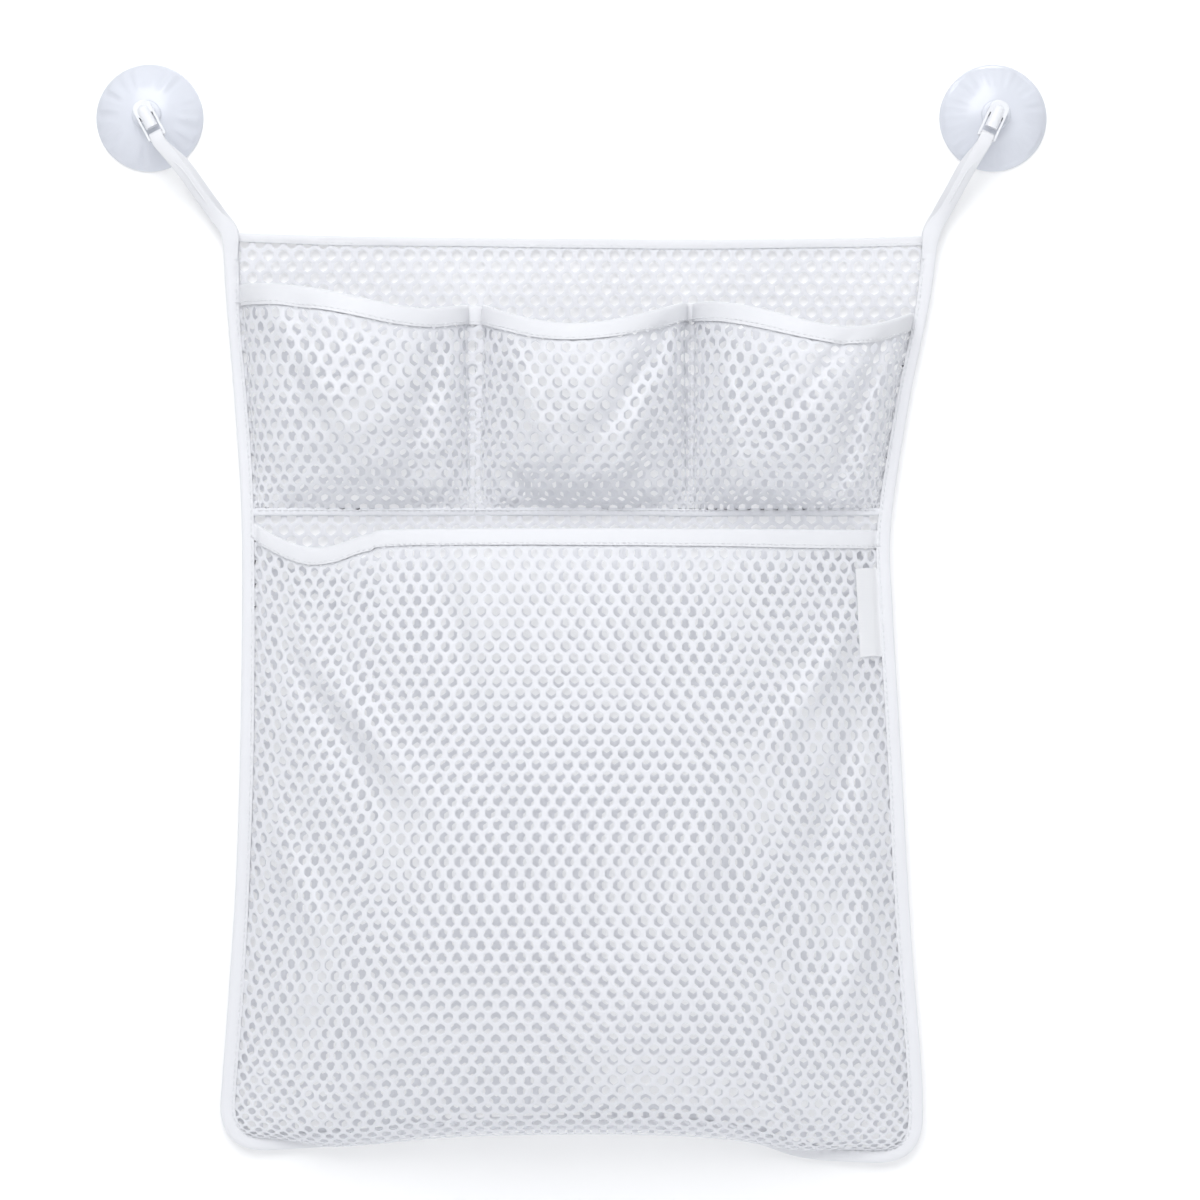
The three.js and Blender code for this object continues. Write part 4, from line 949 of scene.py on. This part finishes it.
class BATHBAG_OT_stage(Operator):
    """Camera, lamps, wall and floor"""

    bl_idname = "bathbag.stage"
    bl_label = "Stage"

    VIEW_CENTRE = (0.014, -0.236)
    AIM = (0.01, 0, -0.25)
    FLOOR_Z = -0.62
    FLOOR_REACH = 4
    WALL_Y = 0.0006
    WALL_REACH = 3
    WALL_TOP_Z = 2.2

    def execute(self, context):
        settings = context.scene.bath_bag_stage
        scene = context.scene
        scene.view_settings.view_transform = "Standard"
        camera = bpy.data.objects.new("camera", bpy.data.cameras.new("camera"))
        camera.data.sensor_width = 36
        camera.data.lens = 36 * settings.distance / settings.view_width
        camera.data.clip_end = 50
        camera.location = (self.VIEW_CENTRE[0], -settings.distance, self.VIEW_CENTRE[1])
        camera.rotation_euler = (math.radians(90), 0, 0)
        scene.collection.objects.link(camera)
        scene.camera = camera
        self.lamps(scene, settings)
        self.surroundings(scene, settings)
        self.background(settings)
        return {"FINISHED"}

    def lamps(self, scene, settings):
        plans = (
            ("key_lamp", (-0.25, -1.5, 0.9), 1.3, settings.key_power),
            ("fill_lamp", (1.1, -1.1, 0.15), 1.0, settings.fill_power),
            ("back_lamp", (0.3, 1.4, 0.9), 1.2, settings.key_power * 0.73),
        )
        for name, place, size, power in plans:
            light = bpy.data.lights.new(name, "AREA")
            light.shape = "SQUARE"
            light.size = size
            light.energy = power
            lamp = bpy.data.objects.new(name, light)
            lamp.location = place
            aim = np.subtract(self.AIM, place)
            lamp.rotation_euler = (
                math.acos(-aim[2] / np.linalg.norm(aim)), 0, math.atan2(aim[1], aim[0]) - math.pi / 2
            )
            scene.collection.objects.link(lamp)

    def surroundings(self, scene, settings):
        """Soft light that grows upwards, which the camera sees as plain background."""
        world = bpy.data.worlds.new("surroundings")
        scene.world = world
        world.use_nodes = True
        sky = Nodes(world.node_tree)
        place = sky.add("ShaderNodeTexCoord").outputs["Generated"]
        height = sky.add("ShaderNodeMapRange", {
            "Value": sky.add("ShaderNodeSeparateXYZ", {0: place}).outputs["Z"],
            "From Min": -0.8, "From Max": 0.8, "To Min": 0.04, "To Max": 0.86,
        })
        soft = sky.add("ShaderNodeBackground", {"Color": (0.94, 0.96, 1.0), "Strength": height.outputs[0]})
        seen = sky.add("ShaderNodeBackground", {"Color": settings.background})
        straight = sky.add("ShaderNodeLightPath").outputs["Is Camera Ray"]
        sky.show("ShaderNodeOutputWorld", sky.between(straight, soft, seen))

    def background(self, settings):
        far, wide, low, high = self.FLOOR_REACH, self.WALL_REACH, self.FLOOR_Z, self.WALL_TOP_Z
        floor, wall = (
            new_piece(name, corners, [(0, 1, 2, 3)]) for name, corners in (
                ("floor", [(x, y, low) for x, y in ((-far, -far), (far, -far), (far, far), (-far, far))]),
                ("wall", [
                    (x, self.WALL_Y, z) for x, z in ((-wide, low), (wide, low), (wide, high), (-wide, high))
                ]),
            )
        )
        floor.data.materials.append(self.paint("floor_paint", settings, 0.7, False))
        wall.data.materials.append(self.paint("wall_paint", settings, 0.12, True))

    def paint(self, name, settings, glow, fading):
        """A matt paint that lightens for the camera and still shows shadows."""
        finish = Finish(name)
        matt = finish.add("ShaderNodeBsdfDiffuse", {"Color": shade(settings.background, 0.87)})
        white = finish.add("ShaderNodeEmission", {"Color": settings.background, "Strength": 1.2})
        straight = finish.value("ShaderNodeLightPath", "Is Camera Ray")
        mixed = finish.between(straight * glow, matt, white)
        if fading:
            clear = finish.add("ShaderNodeBsdfTransparent")
            shown = self.near_front(finish) * straight
            mixed = finish.between(shown, clear, mixed)
        finish.show("ShaderNodeOutputMaterial", mixed)
        return finish.material

    def near_front(self, finish):
        """One on the front of a surface near the bag, fading to none farther off and behind."""
        facing = 1 - finish.value("ShaderNodeNewGeometry", "Backfacing")
        centred = finish.add("ShaderNodeMapping", {
            "Vector": finish.add("ShaderNodeTexCoord").outputs["Object"],
            "Location": (0.0, 0.0, -0.25), "Scale": (0.8, 0.8, 0.8),
        }, vector_type="TEXTURE")
        ball = finish.value(
            "ShaderNodeTexGradient", "Fac", {"Vector": centred.outputs[0]}, gradient_type="SPHERICAL"
        )
        return facing * ball.combined("MULTIPLY", ball, 2.6, clamp=True)


class BATHBAG_OT_nets(Operator):
    """The nets of the back, the small pockets and the big pocket"""

    bl_idname = "bathbag.nets"
    bl_label = "Nets"

    def execute(self, context):
        settings = context.scene.bath_bag_net
        material = net_finish(settings)
        back = BackCloth(settings.creases)
        for name, cloth, keep, node in (
            ("back_net", back, back.holds, "back_panel"),
            ("small_pocket_net", SmallPocketCloth(settings.creases), None, "upper_pocket_strip"),
            ("big_pocket_net", BigPocketCloth(settings.creases), None, "lower_pocket"),
        ):
            dressed(knitted_net(name, cloth, settings, keep), material, "bag", node)
        return {"FINISHED"}


def softened(directions, passes):
    for _ in range(passes):
        padded = np.vstack([directions[:1], directions, directions[-1:]])
        directions = unit(padded[:-2] + 2 * padded[1:-1] + padded[2:])
    return directions


# Over the fold of a mouth tape: the side of the cloth and the rise above its edge
MOUTH_FOLD = ((1, 0.0006), (0, 0.0011), (-1, 0.0006))


def mouth_tape(name, cloth, settings, seed):
    """A tape folded over the mouth of a pocket, with its stitches."""
    inner = MOUTH_REACH - settings.thickness
    count = int(cloth.width / MOUTH_STEP)
    s = np.linspace(0.002, cloth.width - 0.002, count)
    thinned = mix(0.45, 1, smooth(0.004, 0.011, np.minimum(s, cloth.width - s)))
    puff = wandering(count, MOUTH_STEP, 0.02, seed) * 0.00012
    sway = wandering(count, MOUTH_STEP, 0.05, seed + 1) * 0.00025
    pucker = 0.00009 * np.sin(2 * np.pi * s / settings.stitch)
    rows = {}
    # The first two drops are lengths, and the others are shares of the tape's width
    for drop in (0.0, 0.0006, 0.3, 0.55, 0.78, 1.0):
        t = np.full(count, drop if drop < 0.01 else drop * settings.mouth_width)
        if drop == 1.0:
            t = t + sway
        here, out, up = surface_frames(cloth, s, t)
        rows[drop] = here, softened(out, 6), softened(up, 6)

    def at(drop, side, depth):
        here, out, _ = rows[drop]
        lift = depth + (puff + 0.00018 if 0.2 < drop < 0.9 else pucker)
        return here + out * (side * lift * thinned)[:, None]

    def over(side, rise):
        top, out, up = rows[0.0]
        return top + out * (side * MOUTH_REACH * 0.8 * thinned)[:, None] + up * rise

    ring = [at(drop, 1, MOUTH_REACH) for drop in (1.0, 0.78, 0.55, 0.3, 0.0006)]
    ring += [over(side, rise) for side, rise in MOUTH_FOLD]
    ring += [at(drop, -1, MOUTH_REACH) for drop in (0.0006, 0.3, 0.55, 0.78, 1.0)]
    ring += [at(drop, -1, inner) for drop in (1.0, 0.55, 0.0006)]
    ring += [over(0, 0.0004)]
    ring += [at(drop, 1, inner) for drop in (0.0006, 0.55, 1.0)]
    here, out, _ = surface_frames(cloth, s, np.full(count, settings.mouth_width * 0.84))
    out = softened(out, 6)
    runs = [
        thread_run(here + way * (MOUTH_REACH + THREAD_LIFT), way, settings.stitch) for way in (out, -out)
    ]
    return ribbon(name, ring), runs


def flat_tape(line, inward, width, front, back, tape, seed, tuck=0.0):
    """Rows of a tape folded over a flat edge. inward points from the edge into the bag, in X and Z.

    tuck is how far the inner edge of the front leg lies back towards the wall.
    """
    travelled = lengths_along(line)
    puff = wandering(len(line), travelled[-1] / len(line), 0.025, seed) * 0.00012
    pucker = 0.00008 * np.sin(2 * np.pi * travelled / tape.stitch)
    thickness = tape.thickness
    middle = (front + back) / 2

    def at(share, depth, y, lift=0.0):
        x, z = (line + inward * (width * share + depth)[:, None]).T
        return together(x, y + lift, z)

    return [
        at(1, 0, front, pucker + tuck + 0.0001), at(0.86, 0, front, pucker * 0.5 + tuck * 0.7),
        at(0.62, 0, front, -0.0001 - puff), at(0.34, 0, front, -0.0001 - puff),
        at(0, 0.0005, front, 0.00003), at(0, 0.0001, front, 0.0004),
        at(0, 0, middle), at(0, 0.0001, back, -0.0004),
        at(0, 0.0005, back, -0.00003), at(0.5, 0, back),
        at(1, 0, back, -0.0001 - pucker), at(1, 0, back, -thickness - 0.0001 - pucker),
        at(0.5, 0, back, -thickness), at(0, 0.0012, back, -thickness - 0.0002),
        at(0, 0.0008, middle), at(0, 0.0012, front, thickness + 0.0002),
        at(0.5, 0, front, thickness), at(1, 0, front, tuck + thickness * 0.6 + pucker),
    ]


class BATHBAG_OT_tapes(Operator):
    """Binding tapes round the edge, on the top and on the pocket mouths, and all their stitches"""

    bl_idname = "bathbag.tapes"
    bl_label = "Tapes and stitches"

    def execute(self, context):
        tape = context.scene.bath_bag_tape
        net = context.scene.bath_bag_net
        cloth, thread = tape_finish(tape), thread_finish(tape)
        strip, pocket = SmallPocketCloth(net.creases), BigPocketCloth(net.creases)
        made = (
            ("edge", *self.edge_tape(tape), "edge_binding"),
            ("hem", *self.top_hem(tape), "top_hem"),
            ("small_pocket", *mouth_tape("small_pocket_tape", strip, tape, 31), "upper_pocket_binding"),
            ("big_pocket", *mouth_tape("big_pocket_tape", pocket, tape, 57), "lower_pocket_binding"),
        )
        seams = {"small_pocket": self.pocket_seams(strip, tape)}
        dressed(self.strip_hem(), bpy.data.materials["net_yarn"], "bag")
        for name, piece, runs, node in made:
            dressed(piece, cloth, "bag", node)
            stitches = thread_piece(f"{name}_stitches", runs + seams.get(name, []))
            dressed(stitches, thread, "bag")
        return {"FINISHED"}

    # How wide the edge tape is along the edge, as a share of its set width
    EDGE_WIDTHS = (
        (0, 1.06), (0.012, 1.03), (0.035, 0.88), (0.12, 0.86), (0.3, 1.04), (0.45, 1), (0.7, 1),
        (0.85, 0.92), (0.965, 0.88), (0.988, 1.03), (1, 1.06),
    )

    def edge_tape(self, tape):
        count = int(edge.length / TAPE_STEP)
        along = np.linspace(0, 1, count)
        points = together(*edge.inside(along, 0))
        inward = unit(together(*edge.inside(along, 0.001)) - points)
        shares = np.interp(along, *np.array(self.EDGE_WIDTHS).T)
        width = tape.edge_width * shares * (1 + 0.025 * wandering(count, TAPE_STEP, 0.05, 3))
        width = np.minimum(width, POCKET_INSET - 0.0006)
        tuck = mix(0.0005, 0.0013, smooth(-0.082, -0.076, points[:, 1]))
        rows = flat_tape(points, inward, width, BAG_FRONT_Y, BAG_BACK_Y, tape, 11, tuck)
        x, z = (points + inward * (width - 0.0013)[:, None]).T
        front = BAG_FRONT_Y - THREAD_LIFT + tuck * 0.7
        return ribbon("edge_tape", rows), seam(x, z, front, BAG_BACK_Y + THREAD_LIFT, tape.stitch)

    def top_hem(self, tape):
        left, right = edge.sides(BAG_TOP_Z - 0.004, POCKET_INSET - 0.001)
        count = int((right - left) / TAPE_STEP)
        x = np.linspace(left, right, count)
        z = top_z(x) + 0.00025 * wandering(count, TAPE_STEP, 0.04, 5)
        width = HEM_WIDTH + 0.0002 * wandering(count, TAPE_STEP, 0.05, 9)
        front = PANEL_Y - 0.0003 - tape.thickness
        inward = np.tile((0.0, -1.0), (count, 1))
        rows = flat_tape(together(x, z), inward, width, front, BAG_BACK_Y, tape, 21, 0.00015)
        runs = seam(x, z - width + 0.0012, front + 0.0003, BAG_BACK_Y + THREAD_LIFT, tape.stitch)
        return ribbon("top_tape", rows), runs

    def strip_hem(self):
        """The net folded under along the bottom of the small pockets."""
        z = STRIP_BOTTOM_Z + STRIP_HEM / 2
        left, right = edge.sides(z, POCKET_INSET - 0.004)
        count = int((right - left) / TAPE_STEP)
        x = np.linspace(left, right, count)
        sway = 0.0003 * wandering(count, TAPE_STEP, 0.03, 71)
        rib = 0.00016 * np.sin(2 * np.pi * x / 0.0038) + 0.00014 * wandering(count, TAPE_STEP, 0.01, 73)
        half = STRIP_HEM / 2 + 0.0001 * wandering(count, TAPE_STEP, 0.02, 75)
        plan = (
            (1, 0.0001, 0), (0.75, 0.0006, 1), (0.2, 0.0008, 1), (-0.4, 0.0008, 1), (-0.85, 0.0006, 1),
            (-1, 0.0001, 0), (-0.9, -0.0002, 0), (0.9, -0.0002, 0),
        )
        return ribbon("small_pocket_hem", [
            together(x, POCKET_SEAM_Y - depth - rib * ribbed, z + sway + high * half)
            for high, depth, ribbed in plan
        ])

    def pocket_seams(self, strip, tape):
        """Rows of stitches down the two dividers and along the bottom of the small pockets."""
        runs = []
        for x, gap in zip(DIVIDERS, (1.5, 3.5)):
            z = np.linspace(strip.mouth(np.array([gap]))[0] - tape.mouth_width, STRIP_BOTTOM_Z, 60)
            runs += seam(x, z, POCKET_SEAM_Y - 0.0004, PANEL_Y + 0.0006, tape.stitch)
        z = STRIP_BOTTOM_Z + 0.0028
        x = np.linspace(*edge.sides(z, POCKET_INSET), 200)
        return runs + seam(x, z, POCKET_SEAM_Y - 0.001, PANEL_Y + 0.0006, tape.stitch)


class BATHBAG_OT_straps(Operator):
    """The doubled tapes between the bag's top corners and the hooks"""

    bl_idname = "bathbag.straps"
    bl_label = "Straps"

    # The run from the bar to the bag's corner: shares of the way across, down and back to the wall
    RUN = ((0.36, 0.32, 0.22), (0.6, 0.57, 0.53), (0.82, 0.8, 0.86))

    def execute(self, context):
        tape = context.scene.bath_bag_tape
        material = bpy.data.materials["woven_tape"]
        for side in ("left", "right"):
            dressed(self.strap(side, tape), material, "bag", f"{side}_strap")
        return {"FINISHED"}

    def line(self, side):
        """The hook's bar, the way from it towards the bag, and the strap's middle line."""
        sign = -1 if side == "left" else 1
        tilt = HOOK_TILTS[side]
        away = np.array([-math.sin(tilt), 0, -math.cos(tilt)])
        bar = np.array([sign * CUP_X, BAR_Y, 0]) + away * BAR_DROP
        along = 0.0 if side == "left" else 1.0
        corner, end = (
            np.insert(edge.inside(place, CORNER_INSET), 1, (BAG_FRONT_Y + BAG_BACK_Y) / 2)
            for place in (along, abs(along - CORNER_OVERLAP / edge.length))
        )
        run = [mix(bar, corner, np.array([across, back, down])) for across, down, back in self.RUN]
        points = even_spline([bar, bar + away * 0.005, *run, corner, end], 30)
        return bar, away, resampled(points, 61)

    def strap(self, side, tape):
        bar, away, line = self.line(side)
        share = np.linspace(0, 1, len(line))
        way = unit(np.gradient(line, axis=0))
        way[0] = away
        across = unit(np.cross(way, -TO_ROOM))
        out = unit(np.cross(way, across))
        sign = 1 if side == "left" else -1
        half = tape.thickness / 2
        flat_reach, loop_reach = 0.0006, BAR_REACH + half
        corner_reach = (BAG_BACK_Y - BAG_FRONT_Y) / 2 + 0.0003 + half
        corner_share = 1 - CORNER_OVERLAP / lengths_along(line)[-1]
        near_bar = np.clip(1 - share * 5, 0, 1) ** 2
        near_bag = smooth(corner_share * 0.62, corner_share, share)
        reach = flat_reach + (loop_reach - flat_reach) * near_bar + (corner_reach - flat_reach) * near_bag
        reach = reach - 0.0011 * smooth(corner_share + 0.1 * (1 - corner_share), 1, share)
        free = smooth(0.06, 0.3, share) * smooth(corner_share, corner_share * 0.72, share)
        widening = 1 + 0.28 * np.exp(-(((share - corner_share) / 0.11) ** 2))
        layers = []
        for layer, turn, shift in ((1, 0.34, 0.0012), (-1, -0.62, -0.0014)):
            cos, sin = (trig(sign * turn * free)[:, None] for trig in (np.cos, np.sin))
            middle = line + out * (layer * reach)[:, None] + across * (-sign * shift * free)[:, None]
            layers.append((
                middle, (across * cos + out * sin) * widening[:, None], (out * cos - across * sin) * layer
            ))
        front, back = layers
        steps = np.linspace(0, np.pi, 14)[1:-1, None]
        round_bar = out[0] * np.cos(steps) - away * np.sin(steps)
        loop = bar + round_bar * loop_reach, np.tile(across[0], (len(steps), 1)), round_bar
        path, sides, ups = (np.vstack([front[k][::-1], loop[k], back[k]]) for k in range(3))
        width = tape.strap_width / 2
        section = (
            (-width, half * 0.4), (0.0003 - width, half), (0, half + 0.00008), (width - 0.0003, half),
            (width, half * 0.4), (width, -half * 0.4), (width - 0.0003, -half), (0, 0.00004 - half),
            (0.0003 - width, -half), (-width, -half * 0.4),
        )
        return ribbon(f"{side}_strap_tape", [path + sides * wide + ups * high for wide, high in section])


class BATHBAG_OT_label(Operator):
    """The bare satin label in the right seam"""

    bl_idname = "bathbag.label"
    bl_label = "Label"

    def execute(self, context):
        settings = context.scene.bath_bag_fittings
        pocket = BigPocketCloth(context.scene.bath_bag_net.creases)
        rows = np.linspace(0, 1, 25)
        columns = np.linspace(0, 1, 15)
        layers = zip(*(self.column(pocket, across, rows) for across in columns))
        points = np.concatenate([np.vstack(layer) for layer in layers])
        faces = self.sheet_faces(len(columns), len(rows))
        piece = turn_out(new_piece("bare_label", points, faces, flat_above=60))
        dressed(piece, label_finish(settings), "bag", "side_label")
        return {"FINISHED"}

    @staticmethod
    def column(pocket, across, rows):
        """Front and back points of one column of the label, which lies on the big pocket's net."""
        z = LABEL_TOP_Z - LABEL_HEIGHT * rows + 0.0006 * math.sin(3 * across)
        x = edge.sides(z, LABEL_SEAM + LABEL_REACH * across)[1]
        left, right = edge.sides(z, SEAM_INSET)
        share = np.clip((x - left) / (right - left), 0, 1)
        down = (POCKET_RIGHT_Z - z) / (POCKET_RIGHT_Z - BAG_TOP_Z + BAG_HEIGHT)
        stand = POCKET_SEAM_Y - pocket.raw(share, down)[:, 1]
        out = smooth(0.16, 0.4, across)
        curl = 0.0006 * across**2 * np.cos(np.pi * rows)
        y = mix(POCKET_SEAM_Y - 0.0004, POCKET_SEAM_Y - 0.0012 - stand, out) - curl * out
        front, back = y - mix(0.0002, 0.0006, out), y + 0.0003 * (1 - 0.6 * across**6)
        return together(x, front, z), together(x, back, z)

    @staticmethod
    def sheet_faces(wide, high):
        """Faces of a closed sheet made of a front and a back grid, each column by column."""
        grid = np.arange(wide * high).reshape(wide, high)
        back = grid.size
        a, b, c, d = (
            part.ravel() for part in (grid[:-1, :-1], grid[1:, :-1], grid[1:, 1:], grid[:-1, 1:])
        )
        faces = together(a, b, c, d).tolist() + (together(a, d, c, b) + back).tolist()
        for rim in (grid[0], grid[:, -1]):
            faces += together(rim[:-1], rim[1:], rim[1:] + back, rim[:-1] + back).tolist()
        for rim in (grid[-1], grid[:, 0]):
            faces += together(rim[:-1], rim[:-1] + back, rim[1:] + back, rim[1:]).tolist()
        return faces


class BATHBAG_OT_fittings(Operator):
    """The hooks and the suction cups"""

    bl_idname = "bathbag.fittings"
    bl_label = "Hooks and cups"

    # Radius and height of the cup's hollow, rim, dome, boss and neck, and then of its head
    HOLLOW = (
        (0.0, 0.007), (0.0042, 0.0069), (0.0089, 0.0061), (0.014, 0.0042), (0.0187, 0.0017),
        (0.0233, 0.0001),
    )
    RIM = ((0.0234, 0.0), (0.025, 0.0), (0.026, 0.0))
    DOME = (
        (0.0262, 0.0003), (0.026, 0.0008), (0.0254, 0.0014), (0.024, 0.0028), (0.0215, 0.0048),
        (0.0184, 0.0068), (0.0144, 0.0089), (0.0108, 0.0102), (0.0082, 0.0108), (0.0072, 0.011),
    )
    BOSS = ((0.007, 0.0112), (0.007, 0.0122), (0.0067, 0.0125), (0.006, 0.0126), (0.0024, 0.0126))
    NECK = ((0.0022, 0.0129), (0.0022, 0.0146), (0.0024, 0.0149), (0.0031, 0.0149), (0.0034, 0.0151))
    HEAD_BASE = 0.0149
    HEAD_RADIUS = 0.0034
    HEAD_HEIGHT = 0.0027
    SEGMENTS = 96

    def execute(self, context):
        settings = context.scene.bath_bag_fittings
        hook, cup = hook_finish(settings), cup_finish(settings)
        for side, sign in (("left", -1), ("right", 1)):
            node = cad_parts[f"{side}_hook"]
            node.data.materials.clear()
            node.data.materials.append(hook)
            piece = self.cup(f"{side}_vinyl_cup", sign * CUP_X)
            dressed(piece, cup, f"{side}_cup", f"{side}_cup")
        return {"FINISHED"}

    def cup(self, name, x):
        """A suction cup turned about Y, with its hollow towards the wall."""
        angles = np.linspace(0.12, np.pi / 2, 8)[:-1]
        head = self.HEAD_RADIUS * np.cos(angles), self.HEAD_BASE + self.HEAD_HEIGHT * np.sin(angles)
        hollow, dome = even_spline(self.HOLLOW, 5)[1:-1], even_spline(self.DOME, 5)
        rings = np.vstack([hollow, self.RIM, dome, self.BOSS, self.NECK, together(*head)])
        turns = np.linspace(0, 2 * np.pi, self.SEGMENTS, endpoint=False)
        rng = np.random.default_rng(SEED + (x > 0))
        wobble, ribs = (
            sum(rng.normal(0, 1) / k**fall * np.sin(k * turns + rng.uniform(0, 6)) for k in rates)
            for rates, fall in (((3, 4, 5, 7, 9, 11, 14), 1), ((8, 13, 17, 22, 29), 0))
        )
        points = [(x, -self.HOLLOW[0][1], 0.0), (x, -self.HEAD_BASE - self.HEAD_HEIGHT, 0.0)]
        for radius, high in rings:
            soft = smooth(0.011, 0.024, radius)
            reach = radius + 0.00012 * wobble * smooth(0.022, 0.026, radius)
            uneven = 0.0011 * wobble * soft + 0.00018 * ribs * smooth(0.012, 0.02, radius)
            lift = high + uneven * smooth(0.0004, 0.003, high) * smooth(0.0262, 0.0235, radius)
            points += together(x + reach * np.cos(turns), -lift, reach * np.sin(turns)).tolist()
        faces = tube_faces(len(rings), self.SEGMENTS, 2)
        last = 2 + (len(rings) - 1) * self.SEGMENTS
        for a in range(self.SEGMENTS):
            b = (a + 1) % self.SEGMENTS
            faces += [(0, 2 + b, 2 + a), (1, last + a, last + b)]
        return turn_out(new_piece(name, points, faces, flat_above=50))


class BATHBAG_OT_declare(Operator):
    """Works out the area of yarn in each net's cut, and keeps none of it"""

    bl_idname = "bathbag.declare"
    bl_label = "Cloth sizes"

    def execute(self, context):
        net = context.scene.bath_bag_net
        strip, pocket = SmallPocketCloth(net.creases), BigPocketCloth(net.creases)
        s, t = HOLE_RING.T
        solid = 1 - abs((s * np.roll(t, -1) - t * np.roll(s, -1)).sum()) / 2
        # Piece, flat size, how it is held, its trims, and the share of that rectangle that its cut covers
        sizes = (
            ("back_net", (BAG_WIDTH, 0.45), "stretched", ("top_tape", "edge_tape"), 0.93),
            (
                "small_pocket_net", (strip.width, strip.height), "gathered",
                ("small_pocket_tape", "small_pocket_hem"), 0.95,
            ),
            ("big_pocket_net", (pocket.width, pocket.height), "hung", ("big_pocket_tape",), 0.95),
        )
        for name, flat, held, trims, cut in sizes:
            flat[0] * flat[1] * cut * solid
        return {"FINISHED"}


OPERATORS = (
    BATHBAG_OT_stage, BATHBAG_OT_nets, BATHBAG_OT_tapes, BATHBAG_OT_straps, BATHBAG_OT_label,
    BATHBAG_OT_fittings, BATHBAG_OT_declare,
)
SETTINGS = {
    "bath_bag_net": BagNetSettings, "bath_bag_tape": BagTapeSettings,
    "bath_bag_fittings": BagFittingSettings, "bath_bag_stage": BagStageSettings,
}


class BATHBAG_PT_panel(Panel):
    """Settings and steps of the bath bag"""

    bl_idname = "BATHBAG_PT_panel"
    bl_label = "Bath Bag"
    bl_space_type = "VIEW_3D"
    bl_region_type = "UI"
    bl_category = "Bath Bag"

    def draw(self, context):
        for name, group in SETTINGS.items():
            box = self.layout.box()
            for prop in group.__annotations__:
                box.prop(getattr(context.scene, name), prop)
        for operator in OPERATORS:
            self.layout.operator(operator.bl_idname)


CLASSES = (*SETTINGS.values(), *OPERATORS, BATHBAG_PT_panel)


def register():
    for item in CLASSES:
        bpy.utils.register_class(item)
    for name, group in SETTINGS.items():
        setattr(bpy.types.Scene, name, PointerProperty(type=group))


def unregister():
    for name in SETTINGS:
        delattr(bpy.types.Scene, name)
    for item in reversed(CLASSES):
        bpy.utils.unregister_class(item)


def main():
    register()
    for operator in OPERATORS:
        family, call = operator.bl_idname.split(".")
        getattr(getattr(bpy.ops, family), call)()


if __name__ == "__main__":
    main()
